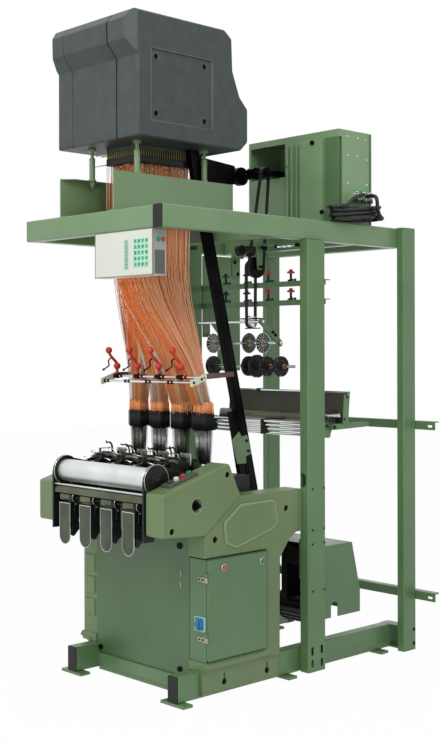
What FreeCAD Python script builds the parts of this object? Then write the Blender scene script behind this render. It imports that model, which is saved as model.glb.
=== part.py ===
"""Narrow-fabric power loom with four weaving heads and a jacquard head on a gantry.

Sizes are in millimetres. X runs to the loom's right as the weaver sees it, Y to the back, Z up.
Y is measured from the front ends of the floor beams, X from the middle between them, and Z from
the floor. At the very end every piece is moved so that the origin is the middle of the floor
anchors.
"""

import FreeCAD
import Part

import math
import os

# ---------------------------------------------------------------- general
seat_gap = 0.3          # gap between pieces that only lie close together
running_gap = 0.05      # radial clearance of a shaft in its bearing
corner_radius = 7.0     # outer corners of rolled hollow sections
tube_wall = 4.0
sheet = 3.0             # folded sheet metal

# ---------------------------------------------------------------- floor frame
loom_x = -18.0          # middle of the weaving machine, which stands off the gantry's middle
casting_inner = 325.0   # from loom_x to a side casting's inner face
beam_offset = casting_inner + 28.0  # from the middle plane to the middle of a floor beam
beam_width = 60.0
beam_height = 113.0
beam_length = 1410.0
cap_thickness = 5.0
foot_thickness = 12.0
foot_width = 146.0
foot_depth = 54.0
front_foot_y = 18.0
middle_foot_y = 658.0
rear_foot_y = 1317.0
anchor_offset = 52.0    # from a beam's middle to an anchor hole
anchor_radius = 7.0
plinth_front_y = 124.0
plinth_bottom = 24.0
plinth_top = 80.0
plinth_flange = 30.0
link_depth = 60.0       # the short channels between the beams' ends and the rear posts
link_sheet = 5.0

# ---------------------------------------------------------------- gantry
mid_post_x = beam_offset + 67.0
mid_post_width = 54.0
mid_post_depth = 118.0
mid_post_front_y = 739.0
mid_post_foot_z = 15.0
foot_slot_length = 41.0
foot_slot_radius = 8.5
foot_slot_spread = 64.0
foot_slot_low_z = 52.0
foot_slot_high_z = 112.0
arm_window_x = mid_post_x - 8.0   # the opening in a post's front above the casting's arm
arm_window_width = 38.0
arm_window_low_z = 864.0
arm_window_high_z = 926.0
rear_post_right_x = beam_offset + 97.0
rear_post_left_x = -beam_offset - 130.0
rear_post_width = 44.0
rear_post_depth = 96.0
platform_z = 2000.0     # underside of the platform
rail_height = 97.0
rail_width = 56.0
right_rail_x = mid_post_x - 24.0
platform_left_x = -mid_post_x - 130.0
platform_front_y = -115.5
channel_support_y = 548.0
cabinet_support_y = beam_length - 300.0
stub_y = 770.0
cross_bar_low_z = 249.0
cross_bar_high_z = 1096.0
cross_bar_leg = 42.0
cross_bar_sheet = 5.0
cross_bar_right_x = rear_post_right_x + 138.0
cross_bar_slot_length = 30.0
cross_bar_slot_radius = 6.0

# ---------------------------------------------------------------- side castings
casting_width = 105.0
casting_wall = 12.0
casting_front_y = 128.0
casting_column_y = 505.0
casting_rear_y = 588.0
casting_arm_rear_y = 738.7
arm_top_z = 858.0
arm_rear_z = 664.0
seam_top_y = 333.0      # where the arm's sloped front edge meets its top
seam_low_z = 702.0
bay_bottom_z = 163.0
bay_top_z = 607.0
skirt_thickness = 15.0
skirt_bottom_z = 21.0
ledge_reach = 13.0
boss_radius = 20.0
boss_depth = 10.0
boss_floor_radius = 13.0
arm_bolt_y = 628.0
arm_bolt_z = 778.0
front_bolt_y = 187.0
front_bolt_z = 683.0
bolt_radius = 8.0
pad_height = 7.0
pad_round = 5.0
keyhole_front_y = 254.0
keyhole_rear_y = 517.0
keyhole_z = 63.5
keyhole_radius = 14.0
keyhole_slot = 8.0
keyhole_rise = 37.0
case_pad_low_z = 285.0
case_pad_pitch = 103.5
case_pad_height = 80.0
case_pad_rise = 8.0
rib_thickness = 10.0

# ---------------------------------------------------------------- covers
cover_front_y = -112.0
cover_bottom_z = 718.0
cover_front_z = 898.0
cover_peak_y = 265.0
cover_peak_z = 1007.0
cover_inset = 4.0       # a cover's inner edge from the casting's inner face
cover_overhang = 8.0    # a cover's outer face from the casting's outer face
cover_wall = 5.0
seam_gap = 2.0
shaft_recess_y = 76.0
shaft_recess_z = 839.0
shaft_recess_radius = 33.0
low_recess_y = -64.0
low_recess_z = 744.0
high_recess_y = 262.0
high_recess_z = 957.0
small_recess_radius = 16.0
recess_depth = 12.0
recess_floor = 0.6      # share of a recess's radius that is left at its floor

# ---------------------------------------------------------------- control strip on the right cover
strip_x = loom_x + casting_inner + 52.0
strip_width = 56.0
strip_length = 166.0
strip_height = 13.0
strip_middle_y = 36.0
strip_button_radius = 11.0
strip_button_pitch = 37.0
strip_button_rise = 12.0
button_stroke = 4.0
button_well = 9.0

# ---------------------------------------------------------------- front panel
panel_front_y = 134.0
panel_top_z = 845.0
panel_return = 25.0
vent_x = 252.0
vent_width = 6.0
vent_height = 36.0
vent_low_z = 458.0
vent_pitch = 48.0

# ---------------------------------------------------------------- electrical cabinet
cabinet_inner_x = loom_x + casting_inner + 3.0
cabinet_outer_x = loom_x + casting_inner + casting_width
cabinet_front_y = 134.0
cabinet_rear_y = 497.0
cabinet_top_z = 602.0
door_thickness = 12.5
door_inset = 2.0
door_bottom_z = 172.0
hinge_out = 6.0         # from the cabinet's front face to the hinge axis
hinge_pin_radius = 4.0
hinge_barrel_radius = 7.0
hinge_barrel_length = 20.0
hinge_low_z = 252.0
hinge_high_z = 507.0
hinge_leaf_width = 26.0
gear_plate_gap = 8.0    # from the cabinet's back to its mounting plate
gear_rail_low_z = 270.0
gear_rail_pitch = 130.0
gear_rail_count = 3
gear_width = 45.0
gear_height = 80.0
gear_depth = 55.0
gear_count = 6
switch_x = cabinet_outer_x - 34.0
switch_z = 327.0
switch_plate = 62.0
switch_plate_depth = 8.0
switch_radius = 23.0
switch_depth = 16.0
lamp_radius = 14.0
lamp_depth = 11.0
lamp_z = 562.0
red_lamp_y = 227.0
green_lamp_y = 462.0

# ---------------------------------------------------------------- weaving heads
head_count = 4
head_pitch = 150.0
bed_front_y = 10.0
bed_rear_y = 500.0
bed_bottom_z = 850.0
bed_top_z = 930.0
bed_rib_pitch = 90.0
bed_end_y = 130.0
head_front_y = 16.0
head_length = 220.0
head_width = 104.0
head_height = 48.0
cheek_thickness = 8.0
cheek_height = 34.0
ribbon_table_width = 62.0
batten_pivot_y = 262.0
batten_pivot_z = 972.0
batten_shaft_radius = 9.0
reed_width = 66.0
reed_height = 52.0
reed_frame = 5.0
reed_depth = 6.0
reed_reach = 56.0       # from the batten shaft forward to the reed
reed_rise = 16.0
dents = 10
needle_pivot_y = 96.0
needle_pivot_z = 1012.0
needle_shaft_radius = 8.0
needle_offset = 24.0    # from a head's middle to its needle post, at rest
needle_rise = 30.0
needle_thickness = 3.0
needle_reach = 46.0

# ---------------------------------------------------------------- take-up
roller_y = -50.0
roller_z = 946.0
roller_radius = 50.0
roller_shaft_radius = 12.0
roller_end_gap = 4.0
bracket_thickness = 10.0
bracket_radius = 68.0
bracket_arm_front_y = -120.0
bracket_arm_width = 58.0
bracket_arm_low_z = 690.0
bracket_lobe_y = 100.0
cloth_roller_y = -93.0
cloth_roller_z = 834.0
cloth_roller_radius = 20.0
cloth_roller_length = 70.0
cloth_shaft_radius = 7.0
hub_radius = 23.0
hub_length = 8.0
hub_offset = 42.0       # from a head's middle to its hub
chute_width = 78.0
chute_top_z = 809.0
chute_bottom_z = 625.0
chute_front_y = -121.0
chute_lip = 14.0
rod_radius = 4.0
guide_rod_y = -112.0
guide_rod_z = 890.0
press_bar_radius = 11.0
press_bar_y = -80.0
press_bar_z = 869.0

# ---------------------------------------------------------------- jacquard head
channel_right_x = 95.0
channel_left_x = -297.0
channel_height = 173.0
channel_flange = 50.0
channel_low_flange = 38.0
channel_front_y = -107.0
channel_rear_y = 604.0
channel_chamfer = 45.0
leg_front_y = 50.0
leg_rear_y = 452.0
leg_inset = 34.0        # from a channel's web to its legs
leg_radius = 13.5
leg_neck_radius = 8.0
leg_foot_radius = 19.0
leg_sleeve_top_z = 2376.0
head_left_x = -403.0
head_right_x = 178.0
head_bottom_z = 2418.0
head_top_z = 2960.0
head_main_front_y = -40.0
head_band_front_y = -92.0
head_back_y = 623.0
head_edge_bevel = 6.0
head_corner_run = 42.0  # how far a front corner's bevel reaches along the band
band_face = 4.0         # how far the band's upper edge stands before its lower one
band_round = 34.0
band_root_share = 0.644  # heights on the cover as shares of the way from its bottom to its top
band_low_share = 0.758
band_high_share = 0.9225
shoulder_share = 0.937
back_knee_share = 0.666
back_slope_share = 0.458
back_high_share = 0.36
back_low_share = 0.083
shoulder_front = 148.0  # distances before the cover's back
shoulder_rear = 102.0
knee_reach = 96.0
slope_reach = 51.0
underside_reach = 47.0
seam_end_y = 440.0
seam_x = 30.0
seam_width = 9.0
second_seam_x = -290.0
second_seam_width = 4.0
seam_depth = 8.0
head_wall = 12.0
head_opening_margin = 15.0
panel_low_share = 0.133
panel_high_share = 0.714
panel_low_y = 32.0
panel_high_y = 396.0
panel_recess = 7.0
panel_slope = 6.0       # how far a recess's sloped walls reach inwards
screw_well_radius = 13.0
screw_well_depth = 8.0
screw_boss_radius = 17.0
screw_head_radius = 7.0
screw_inset = 34.0

# ---------------------------------------------------------------- harness
hook_left_x = -205.0
hook_right_x = 10.0
hook_front_y = 90.0
hook_rear_y = 430.0
hook_bottom_z = 2338.0
hook_ridges = 22
hook_ridge_depth = 5.0
hook_ridge_low_z = 2368.0
hook_margin = 10.0      # from the hook box's side to the outermost cords
fan_bottom_z = 1215.0
bundle_y = 310.0
bundle_width = 80.0
bundle_depth = 56.0
guide_z = 1810.0        # the cords stay nearly upright down to here and then part
guide_spread = 15.0
gather_z = 1385.0       # here they run through the rods' level
gather_shift_x = -25.0  # of the rightmost bundle at that level, against its place lower down
gather_shift_y = -26.0
ridge_depth = 4.0
trunk_ridges = 16
fan_ridges = 5
band_height = 76.0
band_margin = 3.0
heddle_bottom_z = 985.0
heddle_ridges = 6

# ---------------------------------------------------------------- harness rods and tension levers
lever_rod_radius = 5.0
lever_rod_y = 200.0
lever_rod_z = 1374.0
lower_rod_y = 138.0
lower_rod_drop = 21.0
rod_left_x = -291.0
rod_right_x = 325.0
rod_plate_thickness = 8.0
rod_plate_height = 30.0
rod_plate_reach = 15.0  # of an end plate past each rod's middle
lever_offset = -28.0    # from a head's middle to its lever
lever_hub_radius = 12.0
lever_hub_length = 22.0
lever_ball_radius = 16.5
lever_ball_rise = 46.0
lever_knob_radius = 15.5
lever_knob_rise = 120.0
lever_knob_reach = 50.0
lever_arm_radius = 6.5
lever_stem_radius = 7.0
strap_width = 24.0
strap_thickness = 4.0

# ---------------------------------------------------------------- belt guard and drive
guard_x = 27.0
guard_width = 30.0
guard_depth = 52.0
guard_top_y = 495.0
guard_top_z = 2046.0
guard_slope = 0.2430    # mm to the back for each mm down
guard_lower_end_z = 560.0
upper_guard_x = -111.0
upper_guard_width = 40.0
upper_guard_front_y = 566.0
upper_guard_rear_y = 800.0
upper_guard_toe = 60.0
upper_guard_heel = 26.0
motor_y = 940.0
motor_z = 262.0
motor_radius = 78.0
motor_left_x = 120.0
motor_right_x = 330.0
motor_fins = 20
motor_fin_depth = 6.0
housing_left_x = 150.0
housing_right_x = 186.0
housing_top_z = 572.0
housing_front_y = 872.0
housing_rear_y = 1000.0
motor_bracket_thickness = 8.0
motor_bracket_low_z = 480.0
motor_bracket_high_z = 560.0
motor_bracket_reach = 20.0
guard_panel_x = mid_post_x + 20.0
guard_panel_rear_y = 1111.0
guard_panel_top_y = 1053.0
guard_panel_top_z = 581.0
guard_panel_knee_z = 348.0
guard_panel_bottom_z = 244.0
guard_panel_left_x = 60.0
notch_y = 926.0
notch_width = 48.0
notch_top_z = 314.0

# ---------------------------------------------------------------- feed drive under the platform
top_shaft_y = 853.0
top_shaft_z = 2355.0
top_shaft_radius = 10.0
head_pulley_radius = 45.0
head_pulley_width = 28.0
head_pulley_x = -111.0
belt_x = 62.0
second_belt_x = 27.0
top_pulley_radius = 24.0
pulley_width = 24.0
idler_y = 790.0
idler_z = 1893.0
idler_radius = 48.0
second_pulley_radius = 30.0
feed_drive_z = 1630.0
feed_shaft_radius = 7.0
disc_y = 915.0
silver_shaft_z = 1528.0
black_shaft_z = 1413.0
silver_radius = 52.0
black_radius = 50.0
large_disc_radius = 57.0
disc_thickness = 8.0
disc_slots = 10
silver_disc_x = (-372.0, -112.0, -14.0)
black_disc_x = (-372.0, -113.0, 13.0, 108.0)
large_disc_x = -56.0
shaft_end_x = 202.0
feed_plate_x = -mid_post_x + 26.0
feed_plate_thickness = 6.0
feed_plate_rear_y = cabinet_support_y + 18.0
feed_plate_front_y = 908.0
feed_plate_knee_z = 1642.0
feed_plate_step_y = 969.0
feed_plate_step_z = 1579.0
feed_plate_low_z = 1385.0
feed_tab_height = 30.0
feed_arm_x = 100.0
feed_arm_thickness = 8.0
feed_arm_width = 30.0
feed_bar_high_z = 1796.0
feed_bar_low_z = 1706.0
feed_bar_leg = 26.0
knob_width = 27.0
knob_corner = 8.0
knob_rise = 38.0
knob_thickness = 8.0
knob_stem_radius = 5.0
belt_thickness = 4.0
belt_width = 18.0
bearing_x = -20.0
bearing_width = 40.0
bearing_front = 26.0
bearing_top = 34.0
bearing_neck = 40.0

# ---------------------------------------------------------------- warp tray
tray_left_x = -332.0
tray_right_x = mid_post_x + 16.0
tray_front_y = 987.0
tray_depth = 40.0
tray_bottom_z = 1190.0
tray_top_z = 1296.0
tray_lean = 0.09        # mm to the back for each mm up
tray_end_low_z = 1146.0
tray_end_thickness = 5.0
tray_rod_radius = 5.0
rest_beam_y = 1007.0
rest_beam_z = 1167.0
rest_beam_radius = 25.0
rest_rod_radius = 8.0
rest_rod_y = 925.0
rest_rod_high_z = 1142.0
rest_rod_pitch = 19.0
rest_rod_count = 4
side_plate_x = mid_post_x - 20.0
side_plate_thickness = 6.0
side_plate_reach = 968.0
side_plate_low_z = 1085.0
side_plate_high_z = 1154.0
lever_pivot_y = 936.0
lever_pivot_z = 1131.0
warp_lever_length = 229.0
warp_lever_width = 28.0
warp_lever_x = mid_post_x + 4.0
warp_lever_thickness = 8.0

# ---------------------------------------------------------------- rear cabinet and cable
rear_box_left_x = -222.0
rear_box_right_x = 385.0
rear_box_front_y = beam_length - 383.0
rear_box_rear_y = beam_length - 145.0
rear_box_top_z = 2550.0
window_left_x = -208.0
window_right_x = 32.0
window_low_z = 2355.0
window_high_z = 2519.0
step_x = 297.0
step_depth = 25.0
groove_x = 147.0
socket_low_y = rear_box_front_y + 69.0
socket_high_y = rear_box_rear_y - 15.0
socket_low_z = 2208.0
socket_high_z = 2258.0
socket_reach = 26.0
socket_pitch = 50.0
plug_reach = 14.0
plug_radius = 17.0
cable_radius = 9.0
hank_loops = 4
hank_clearance = 3.0
hank_front_y = rear_box_front_y - 115.0
hank_rear_y = rear_box_rear_y - 2.0
hank_end_radius = 38.0
hank_step = 19.2
hank_tilt = 5.0         # degrees by which the rear end lies higher

# ---------------------------------------------------------------- control box
box_left_x = -22.0
box_right_x = right_rail_x - 28.0
box_front_y = -119.0
box_depth = 70.0
box_height = 194.0
box_button_z = 1955.0
green_button_y = -92.0
red_button_y = -65.0
box_button_radius = 9.0


# ================================================================ helpers
def vec(x, y, z):
    return FreeCAD.Vector(x, y, z)


def block(x0, x1, y0, y1, z0, z1):
    """A box between two corners."""
    return Part.makeBox(x1 - x0, y1 - y0, z1 - z0, vec(x0, y0, z0))


def round_bar(start, direction, radius, length):
    return Part.makeCylinder(radius, length, start, direction)


def along_x(y, z, radius, x0, x1):
    """A round bar from x0 to x1."""
    return Part.makeCylinder(radius, x1 - x0, vec(x0, y, z), vec(1, 0, 0))


def fused(shapes):
    return shapes[0].multiFuse(shapes[1:]).removeSplitter()


def group(shapes):
    """Separate solids that make one node."""
    return Part.makeCompound([s for shape in shapes for s in shape.Solids])


def corner_arc(before, corner, after, radius):
    """Start, middle and end of the arc that rounds a corner of an outline."""
    to_before = (before - corner).normalize()
    to_after = (after - corner).normalize()
    half = to_before.getAngle(to_after) / 2
    reach = radius / math.tan(half)
    middle_way = (to_before + to_after).normalize()
    middle = corner + middle_way * (radius / math.sin(half) - radius)
    return corner + to_before * reach, middle, corner + to_after * reach


def outline(points, radius=0.0):
    """A closed wire through points; radius rounds every corner, or gives one value a corner."""
    count = len(points)
    radii = list(radius) if isinstance(radius, (list, tuple)) else [radius] * count
    corners = []
    for i in range(count):
        here = points[i]
        if radii[i] > 0:
            corners.append(corner_arc(points[i - 1], here, points[(i + 1) % count], radii[i]))
        else:
            corners.append((here, here, here))
    edges = []
    for i in range(count):
        start, middle, end = corners[i]
        if radii[i] > 0:
            edges.append(Part.Arc(start, middle, end).toShape())
        following = corners[(i + 1) % count][0]
        if end.distanceToPoint(following) > 1e-6:
            edges.append(Part.LineSegment(end, following).toShape())
    return Part.Wire(edges)


def plate_x(points, x0, x1, radius=0.0):
    """A (y, z) outline carried from x0 to x1."""
    wire = outline([vec(x0, y, z) for y, z in points], radius)
    return Part.Face(wire).extrude(vec(x1 - x0, 0, 0))


def plate_y(points, y0, y1, radius=0.0):
    """An (x, z) outline carried from y0 to y1."""
    wire = outline([vec(x, y0, z) for x, z in points], radius)
    return Part.Face(wire).extrude(vec(0, y1 - y0, 0))


def plate_z(points, z0, z1, radius=0.0):
    """An (x, y) outline carried from z0 to z1."""
    wire = outline([vec(x, y, z0) for x, y in points], radius)
    return Part.Face(wire).extrude(vec(0, 0, z1 - z0))


def rectangle(a0, a1, b0, b1):
    return [(a0, b0), (a1, b0), (a1, b1), (a0, b1)]


def inset(a0, a1, b0, b1, wall):
    return rectangle(a0 + wall, a1 - wall, b0 + wall, b1 - wall)


def shrunk(points, wall):
    """An outline moved inwards by a wall, corner by corner."""
    count = len(points)
    area = sum(points[i - 1][0] * points[i][1] - points[i][0] * points[i - 1][1] for i in range(count))
    turn = 1 if area > 0 else -1
    moved = []
    for i in range(count):
        (ax, ay), (bx, by), (cx, cy) = points[i - 1], points[i], points[(i + 1) % count]
        first, second = math.hypot(bx - ax, by - ay), math.hypot(cx - bx, cy - by)
        n1 = (-(by - ay) / first * turn, (bx - ax) / first * turn)
        n2 = (-(cy - by) / second * turn, (cx - bx) / second * turn)
        share = wall / (1 + n1[0] * n2[0] + n1[1] * n2[1])
        moved.append((bx + (n1[0] + n2[0]) * share, by + (n1[1] + n2[1]) * share))
    return moved


def tube_along_x(x0, x1, y0, y1, z0, z1):
    """A rolled hollow section lying along X."""
    outer = plate_x(rectangle(y0, y1, z0, z1), x0, x1, corner_radius)
    inner = plate_x(inset(y0, y1, z0, z1, tube_wall), x0, x1)
    return outer.cut(inner)


def tube_along_y(x0, x1, y0, y1, z0, z1):
    outer = plate_y(rectangle(x0, x1, z0, z1), y0, y1, corner_radius)
    inner = plate_y(inset(x0, x1, z0, z1, tube_wall), y0, y1)
    return outer.cut(inner)


def tube_along_z(x0, x1, y0, y1, z0, z1):
    outer = plate_z(rectangle(x0, x1, y0, y1), z0, z1, corner_radius)
    inner = plate_z(inset(x0, x1, y0, y1, tube_wall), z0, z1)
    return outer.cut(inner)


def slot_along_x(x0, x1, y, z, radius, length):
    """An upright round-ended slot that passes from x0 to x1."""
    half = length / 2 - radius
    points = [(y - radius, z - half - radius), (y + radius, z - half - radius),
              (y + radius, z + half + radius), (y - radius, z + half + radius)]
    return plate_x(points, x0, x1, radius * 0.999)


def edges_on_x(shape, x):
    """The edges of shape that lie wholly in the plane X = x."""
    found = []
    for edge in shape.Edges:
        box = edge.BoundBox
        if abs(box.XMin - x) < 1e-4 and abs(box.XMax - x) < 1e-4:
            found.append(edge)
    return found


def head_positions():
    first = loom_x - head_pitch * (head_count - 1) / 2
    return [first + head_pitch * i for i in range(head_count)]


# ================================================================ floor frame
beam_bottom = foot_thickness
beam_top = foot_thickness + beam_height
rail_top = platform_z + rail_height
rail_right = right_rail_x + rail_width / 2
rail_inner = right_rail_x - rail_width / 2


def floor_beam(x):
    half = beam_width / 2
    return tube_along_y(x - half, x + half, 0, beam_length, beam_bottom, beam_top)


def end_cap(x0, x1, y, z0, z1):
    """A plug for an open tube end at Y = y, with a flat head and a spigot."""
    head = plate_y(rectangle(x0, x1, z0, z1), y - cap_thickness, y, corner_radius)
    wall = tube_wall + seat_gap
    spigot = plate_y(inset(x0, x1, z0, z1, wall), y, y + 3 * cap_thickness)
    return head.fuse(spigot)


def end_caps():
    half = beam_width / 2
    caps = [end_cap(x - half, x + half, 0, beam_bottom, beam_top) for x in (-beam_offset, beam_offset)]
    caps.append(end_cap(rail_inner, rail_right, platform_front_y, platform_z, rail_top))
    return group(caps)


def floor_feet():
    feet = []
    for x in (-beam_offset, beam_offset):
        for y in (front_foot_y, middle_foot_y, rear_foot_y):
            half = foot_width / 2
            points = rectangle(x - half, x + half, y - foot_depth / 2, y + foot_depth / 2)
            foot = plate_z(points, 0, foot_thickness)
            for side in (-1, 1):
                hole = round_bar(vec(x + side * anchor_offset, y, 0), vec(0, 0, 1), anchor_radius, foot_thickness)
                foot = foot.cut(hole)
            feet.append(foot)
    return group(feet)


def rear_link(x0, x1, beam_x0, beam_x1):
    """A short channel, open to the front, that joins a floor beam's closed end to a rear post."""
    y0, y1 = beam_length, beam_length + link_depth
    channel = block(x0, x1, y0, y1, beam_bottom, beam_top)
    channel = channel.cut(block(x0 - 1, x1 + 1, y0 - 1, y1 - link_sheet, beam_bottom + link_sheet,
                                beam_top - link_sheet))
    return channel.fuse(block(beam_x0, beam_x1, y0, y0 + link_sheet, beam_bottom, beam_top)).removeSplitter()


def floor_cross_members():
    """The plinth channel below the front panel and the links to the rear posts."""
    inner = beam_offset - beam_width / 2
    y0, y1 = plinth_front_y, plinth_front_y + plinth_flange
    web = block(-inner, inner, y0, y0 + tube_wall, plinth_bottom, plinth_top)
    low = block(-inner, inner, y0, y1, plinth_bottom, plinth_bottom + tube_wall)
    high = block(-inner, inner, y0, y1, plinth_top - tube_wall, plinth_top)
    outer = beam_offset + beam_width / 2
    right = rear_link(inner, rear_post_right_x - rear_post_width / 2, inner, outer)
    left = rear_link(rear_post_left_x + rear_post_width / 2, -inner, -outer, -inner)
    return group([fused([web, low, high]), right, left])


# ================================================================ gantry
def mid_post(side):
    """One of the two posts beside the loom; side is 1 for the right and -1 for the left."""
    x0, x1 = mid_post_x - mid_post_width / 2, mid_post_x + mid_post_width / 2
    y0, y1 = mid_post_front_y, mid_post_front_y + mid_post_depth
    post = tube_along_z(x0, x1, y0, y1, mid_post_foot_z, platform_z)
    packer = block(beam_offset + beam_width / 2, x0 + tube_wall / 2, y0 + corner_radius, y1 - corner_radius,
                   beam_bottom + corner_radius, beam_top - corner_radius)
    post = post.fuse(packer).removeSplitter()
    middle_y = (y0 + y1) / 2
    for y in (middle_y - foot_slot_spread / 2, middle_y + foot_slot_spread / 2):
        for z in (foot_slot_low_z, foot_slot_high_z):
            post = post.cut(slot_along_x(x1 - tube_wall - 1, x1 + 1, y, z, foot_slot_radius, foot_slot_length))
    half = arm_window_width / 2
    window = plate_y(rectangle(arm_window_x - half, arm_window_x + half, arm_window_low_z, arm_window_high_z),
                     y0 - 1, y0 + tube_wall + 1, half * 0.98)
    post = post.cut(window)
    if side < 0:
        post = post.mirror(vec(0, 0, 0), vec(1, 0, 0))
    return post


def rear_post(x):
    half = rear_post_width / 2
    return tube_along_z(x - half, x + half, beam_length, beam_length + rear_post_depth, 0, rail_top)


def platform_rails():
    front = tube_along_x(platform_left_x, rail_inner, platform_front_y, platform_front_y + rail_width,
                         platform_z, rail_top)
    right = tube_along_y(rail_inner, rail_right, platform_front_y, beam_length, platform_z, rail_top)
    left = tube_along_y(platform_left_x, platform_left_x + rail_width, platform_front_y + rail_width,
                        beam_length, platform_z, rail_top)
    return group([front, right, left])


def platform_cross_members():
    left = platform_left_x + rail_width
    members = []
    for y in (channel_support_y, cabinet_support_y):
        members.append(tube_along_x(left, rail_inner, y, y + rail_width, platform_z, rail_top))
    stub_end = -mid_post_x + mid_post_width / 2
    members.append(tube_along_x(left, stub_end, stub_y, stub_y + rail_width, platform_z, rail_top))
    members.append(tube_along_x(rear_post_left_x + rear_post_width / 2, rear_post_right_x - rear_post_width / 2,
                                beam_length, beam_length + rail_width, platform_z, rail_top))
    return group(members)


def rear_cross_bars():
    """Two angle bars behind the rear posts, with a slot near their right ends."""
    bars = []
    y0 = beam_length + rear_post_depth
    x0 = rear_post_left_x - rear_post_width / 2
    for z in (cross_bar_low_z, cross_bar_high_z):
        upright = block(x0, cross_bar_right_x, y0, y0 + cross_bar_sheet, z, z + cross_bar_leg)
        shelf = block(x0, cross_bar_right_x, y0, y0 + cross_bar_leg, z + cross_bar_leg - cross_bar_sheet,
                      z + cross_bar_leg)
        slot_x = cross_bar_right_x - cross_bar_slot_length
        half = cross_bar_slot_length / 2
        points = rectangle(slot_x - half, slot_x + half, z + 12, z + 12 + 2 * cross_bar_slot_radius)
        slot = plate_y(points, y0 - 1, y0 + cross_bar_sheet + 1, cross_bar_slot_radius * 0.999)
        bars.append(upright.fuse(shelf).removeSplitter().cut(slot))
    return group(bars)


# ================================================================ side castings
def casting_outline():
    return [(casting_front_y, beam_top), (casting_rear_y, beam_top), (casting_rear_y, bay_top_z - 52),
            (casting_rear_y + 67, bay_top_z + 33), (casting_arm_rear_y - 39, arm_rear_z),
            (casting_arm_rear_y, arm_rear_z), (casting_arm_rear_y, arm_top_z), (seam_top_y, arm_top_z),
            (casting_front_y, seam_low_z), (casting_front_y, bay_top_z), (casting_column_y, bay_top_z),
            (casting_column_y, bay_bottom_z), (casting_front_y, bay_bottom_z)]


casting_radii = [0, 0, 30, 20, 14, 6, 10, 14, 10, 6, 6, 6, 0]


def arm_pad_outline():
    """The raised field on the casting's arm."""
    return [(237, 752), (337, 822), (548, 826), (572, 716), (536, 693), (312, 634), (246, 660)]


def side_casting(side):
    """A ribbed side casting, C-shaped round the cabinet's bay, hollow towards the loom's middle."""
    inner = loom_x + side * casting_inner
    outer = inner + side * casting_width
    whole = plate_x(casting_outline(), inner, outer, casting_radii)
    body = whole.makeFillet(5.0, [e for e in edges_on_x(whole, outer) if e.BoundBox.ZMax > beam_top + 1])
    wall = casting_wall
    web = outer - side * wall
    arm_pocket = [(casting_front_y + wall, bay_top_z + wall), (casting_rear_y + 20, bay_top_z + wall),
                  (casting_rear_y + 60, arm_rear_z + wall), (casting_arm_rear_y - wall, arm_rear_z + wall),
                  (casting_arm_rear_y - wall, arm_top_z - wall), (seam_top_y + 4, arm_top_z - wall),
                  (casting_front_y + wall, seam_low_z - 4)]
    column_pocket = [(casting_column_y + wall, beam_top + wall), (casting_rear_y - wall, beam_top + wall),
                     (casting_rear_y - wall, bay_top_z - 40), (casting_column_y + wall, bay_top_z - 40)]
    for points in (arm_pocket, column_pocket):
        body = body.cut(plate_x(points, inner, web, 8.0))
    for y in (front_bolt_y + 110, arm_bolt_y - 130):
        rib = block(min(inner, web), max(inner, web), y, y + rib_thickness, bay_top_z + 4, arm_top_z - 4)
        body = body.fuse(rib.common(whole))
    pad = plate_x(arm_pad_outline(), outer, outer + side * pad_height, 16.0)
    pad = pad.makeFillet(pad_round, edges_on_x(pad, outer + side * pad_height))
    skirt_x = side * (beam_offset + beam_width / 2 + seat_gap)
    skirt = plate_x(rectangle(casting_front_y - 4, casting_rear_y, skirt_bottom_z, beam_top + 14),
                    skirt_x, skirt_x + side * skirt_thickness)
    ledge_inner = skirt_x + side * skirt_thickness / 2
    ledge_outer = outer + side * ledge_reach
    ledge_points = [(ledge_inner, beam_top - 6), (skirt_x + side * skirt_thickness, beam_top - 6),
                    (ledge_outer, beam_top + 14), (ledge_outer, bay_bottom_z - 14), (outer, bay_bottom_z),
                    (ledge_inner, bay_bottom_z)]
    ledge = plate_y(ledge_points, casting_front_y, casting_column_y + 30)
    body = fused([body, pad, skirt, ledge])
    for y, z in ((arm_bolt_y, arm_bolt_z), (front_bolt_y, front_bolt_z)):
        well = Part.makeCone(boss_radius, boss_floor_radius, boss_depth, vec(outer, y, z), vec(-side, 0, 0))
        bolt = round_bar(vec(outer - side * (boss_depth + 1), y, z), vec(side, 0, 0), bolt_radius, boss_depth - 2)
        body = body.cut(well).fuse(bolt)
    for y in (keyhole_front_y, keyhole_rear_y):
        start, end = skirt_x - side, skirt_x + side * (skirt_thickness + 1)
        body = body.cut(round_bar(vec(start, y, keyhole_z), vec(side, 0, 0), keyhole_radius, skirt_thickness + 2))
        slot = block(min(start, end), max(start, end), y - keyhole_slot / 2, y + keyhole_slot / 2, keyhole_z,
                     keyhole_z + keyhole_rise)
        body = body.cut(slot)
    return body.removeSplitter()


def side_casting_left():
    """The left casting carries a closed gear case with three raised fields in its bay."""
    body = side_casting(-1)
    inner = loom_x - casting_inner
    outer = inner - casting_width
    front = panel_front_y
    points = rectangle(outer + 2, inner, front, casting_column_y + 2)
    case = plate_z(points, bay_bottom_z - 2, bay_top_z + 2, [8.0, 0, 0, 0])
    hollow = block(outer + 2 + casting_wall, inner - casting_wall, front + casting_wall,
                   casting_column_y - casting_wall, bay_bottom_z + casting_wall, bay_top_z - casting_wall)
    case = case.cut(hollow)
    pads = []
    for i in range(3):
        z = case_pad_low_z + case_pad_pitch * i
        half = case_pad_height / 2
        pad = block(outer + 22, inner - 10, front - case_pad_rise, front + 1, z - half, z + half)
        face = [e for e in pad.Edges if e.BoundBox.YMax < front - case_pad_rise + 1e-4]
        pads.append(pad.makeFillet(pad_round, face))
    return fused([body, case] + pads)


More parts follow.
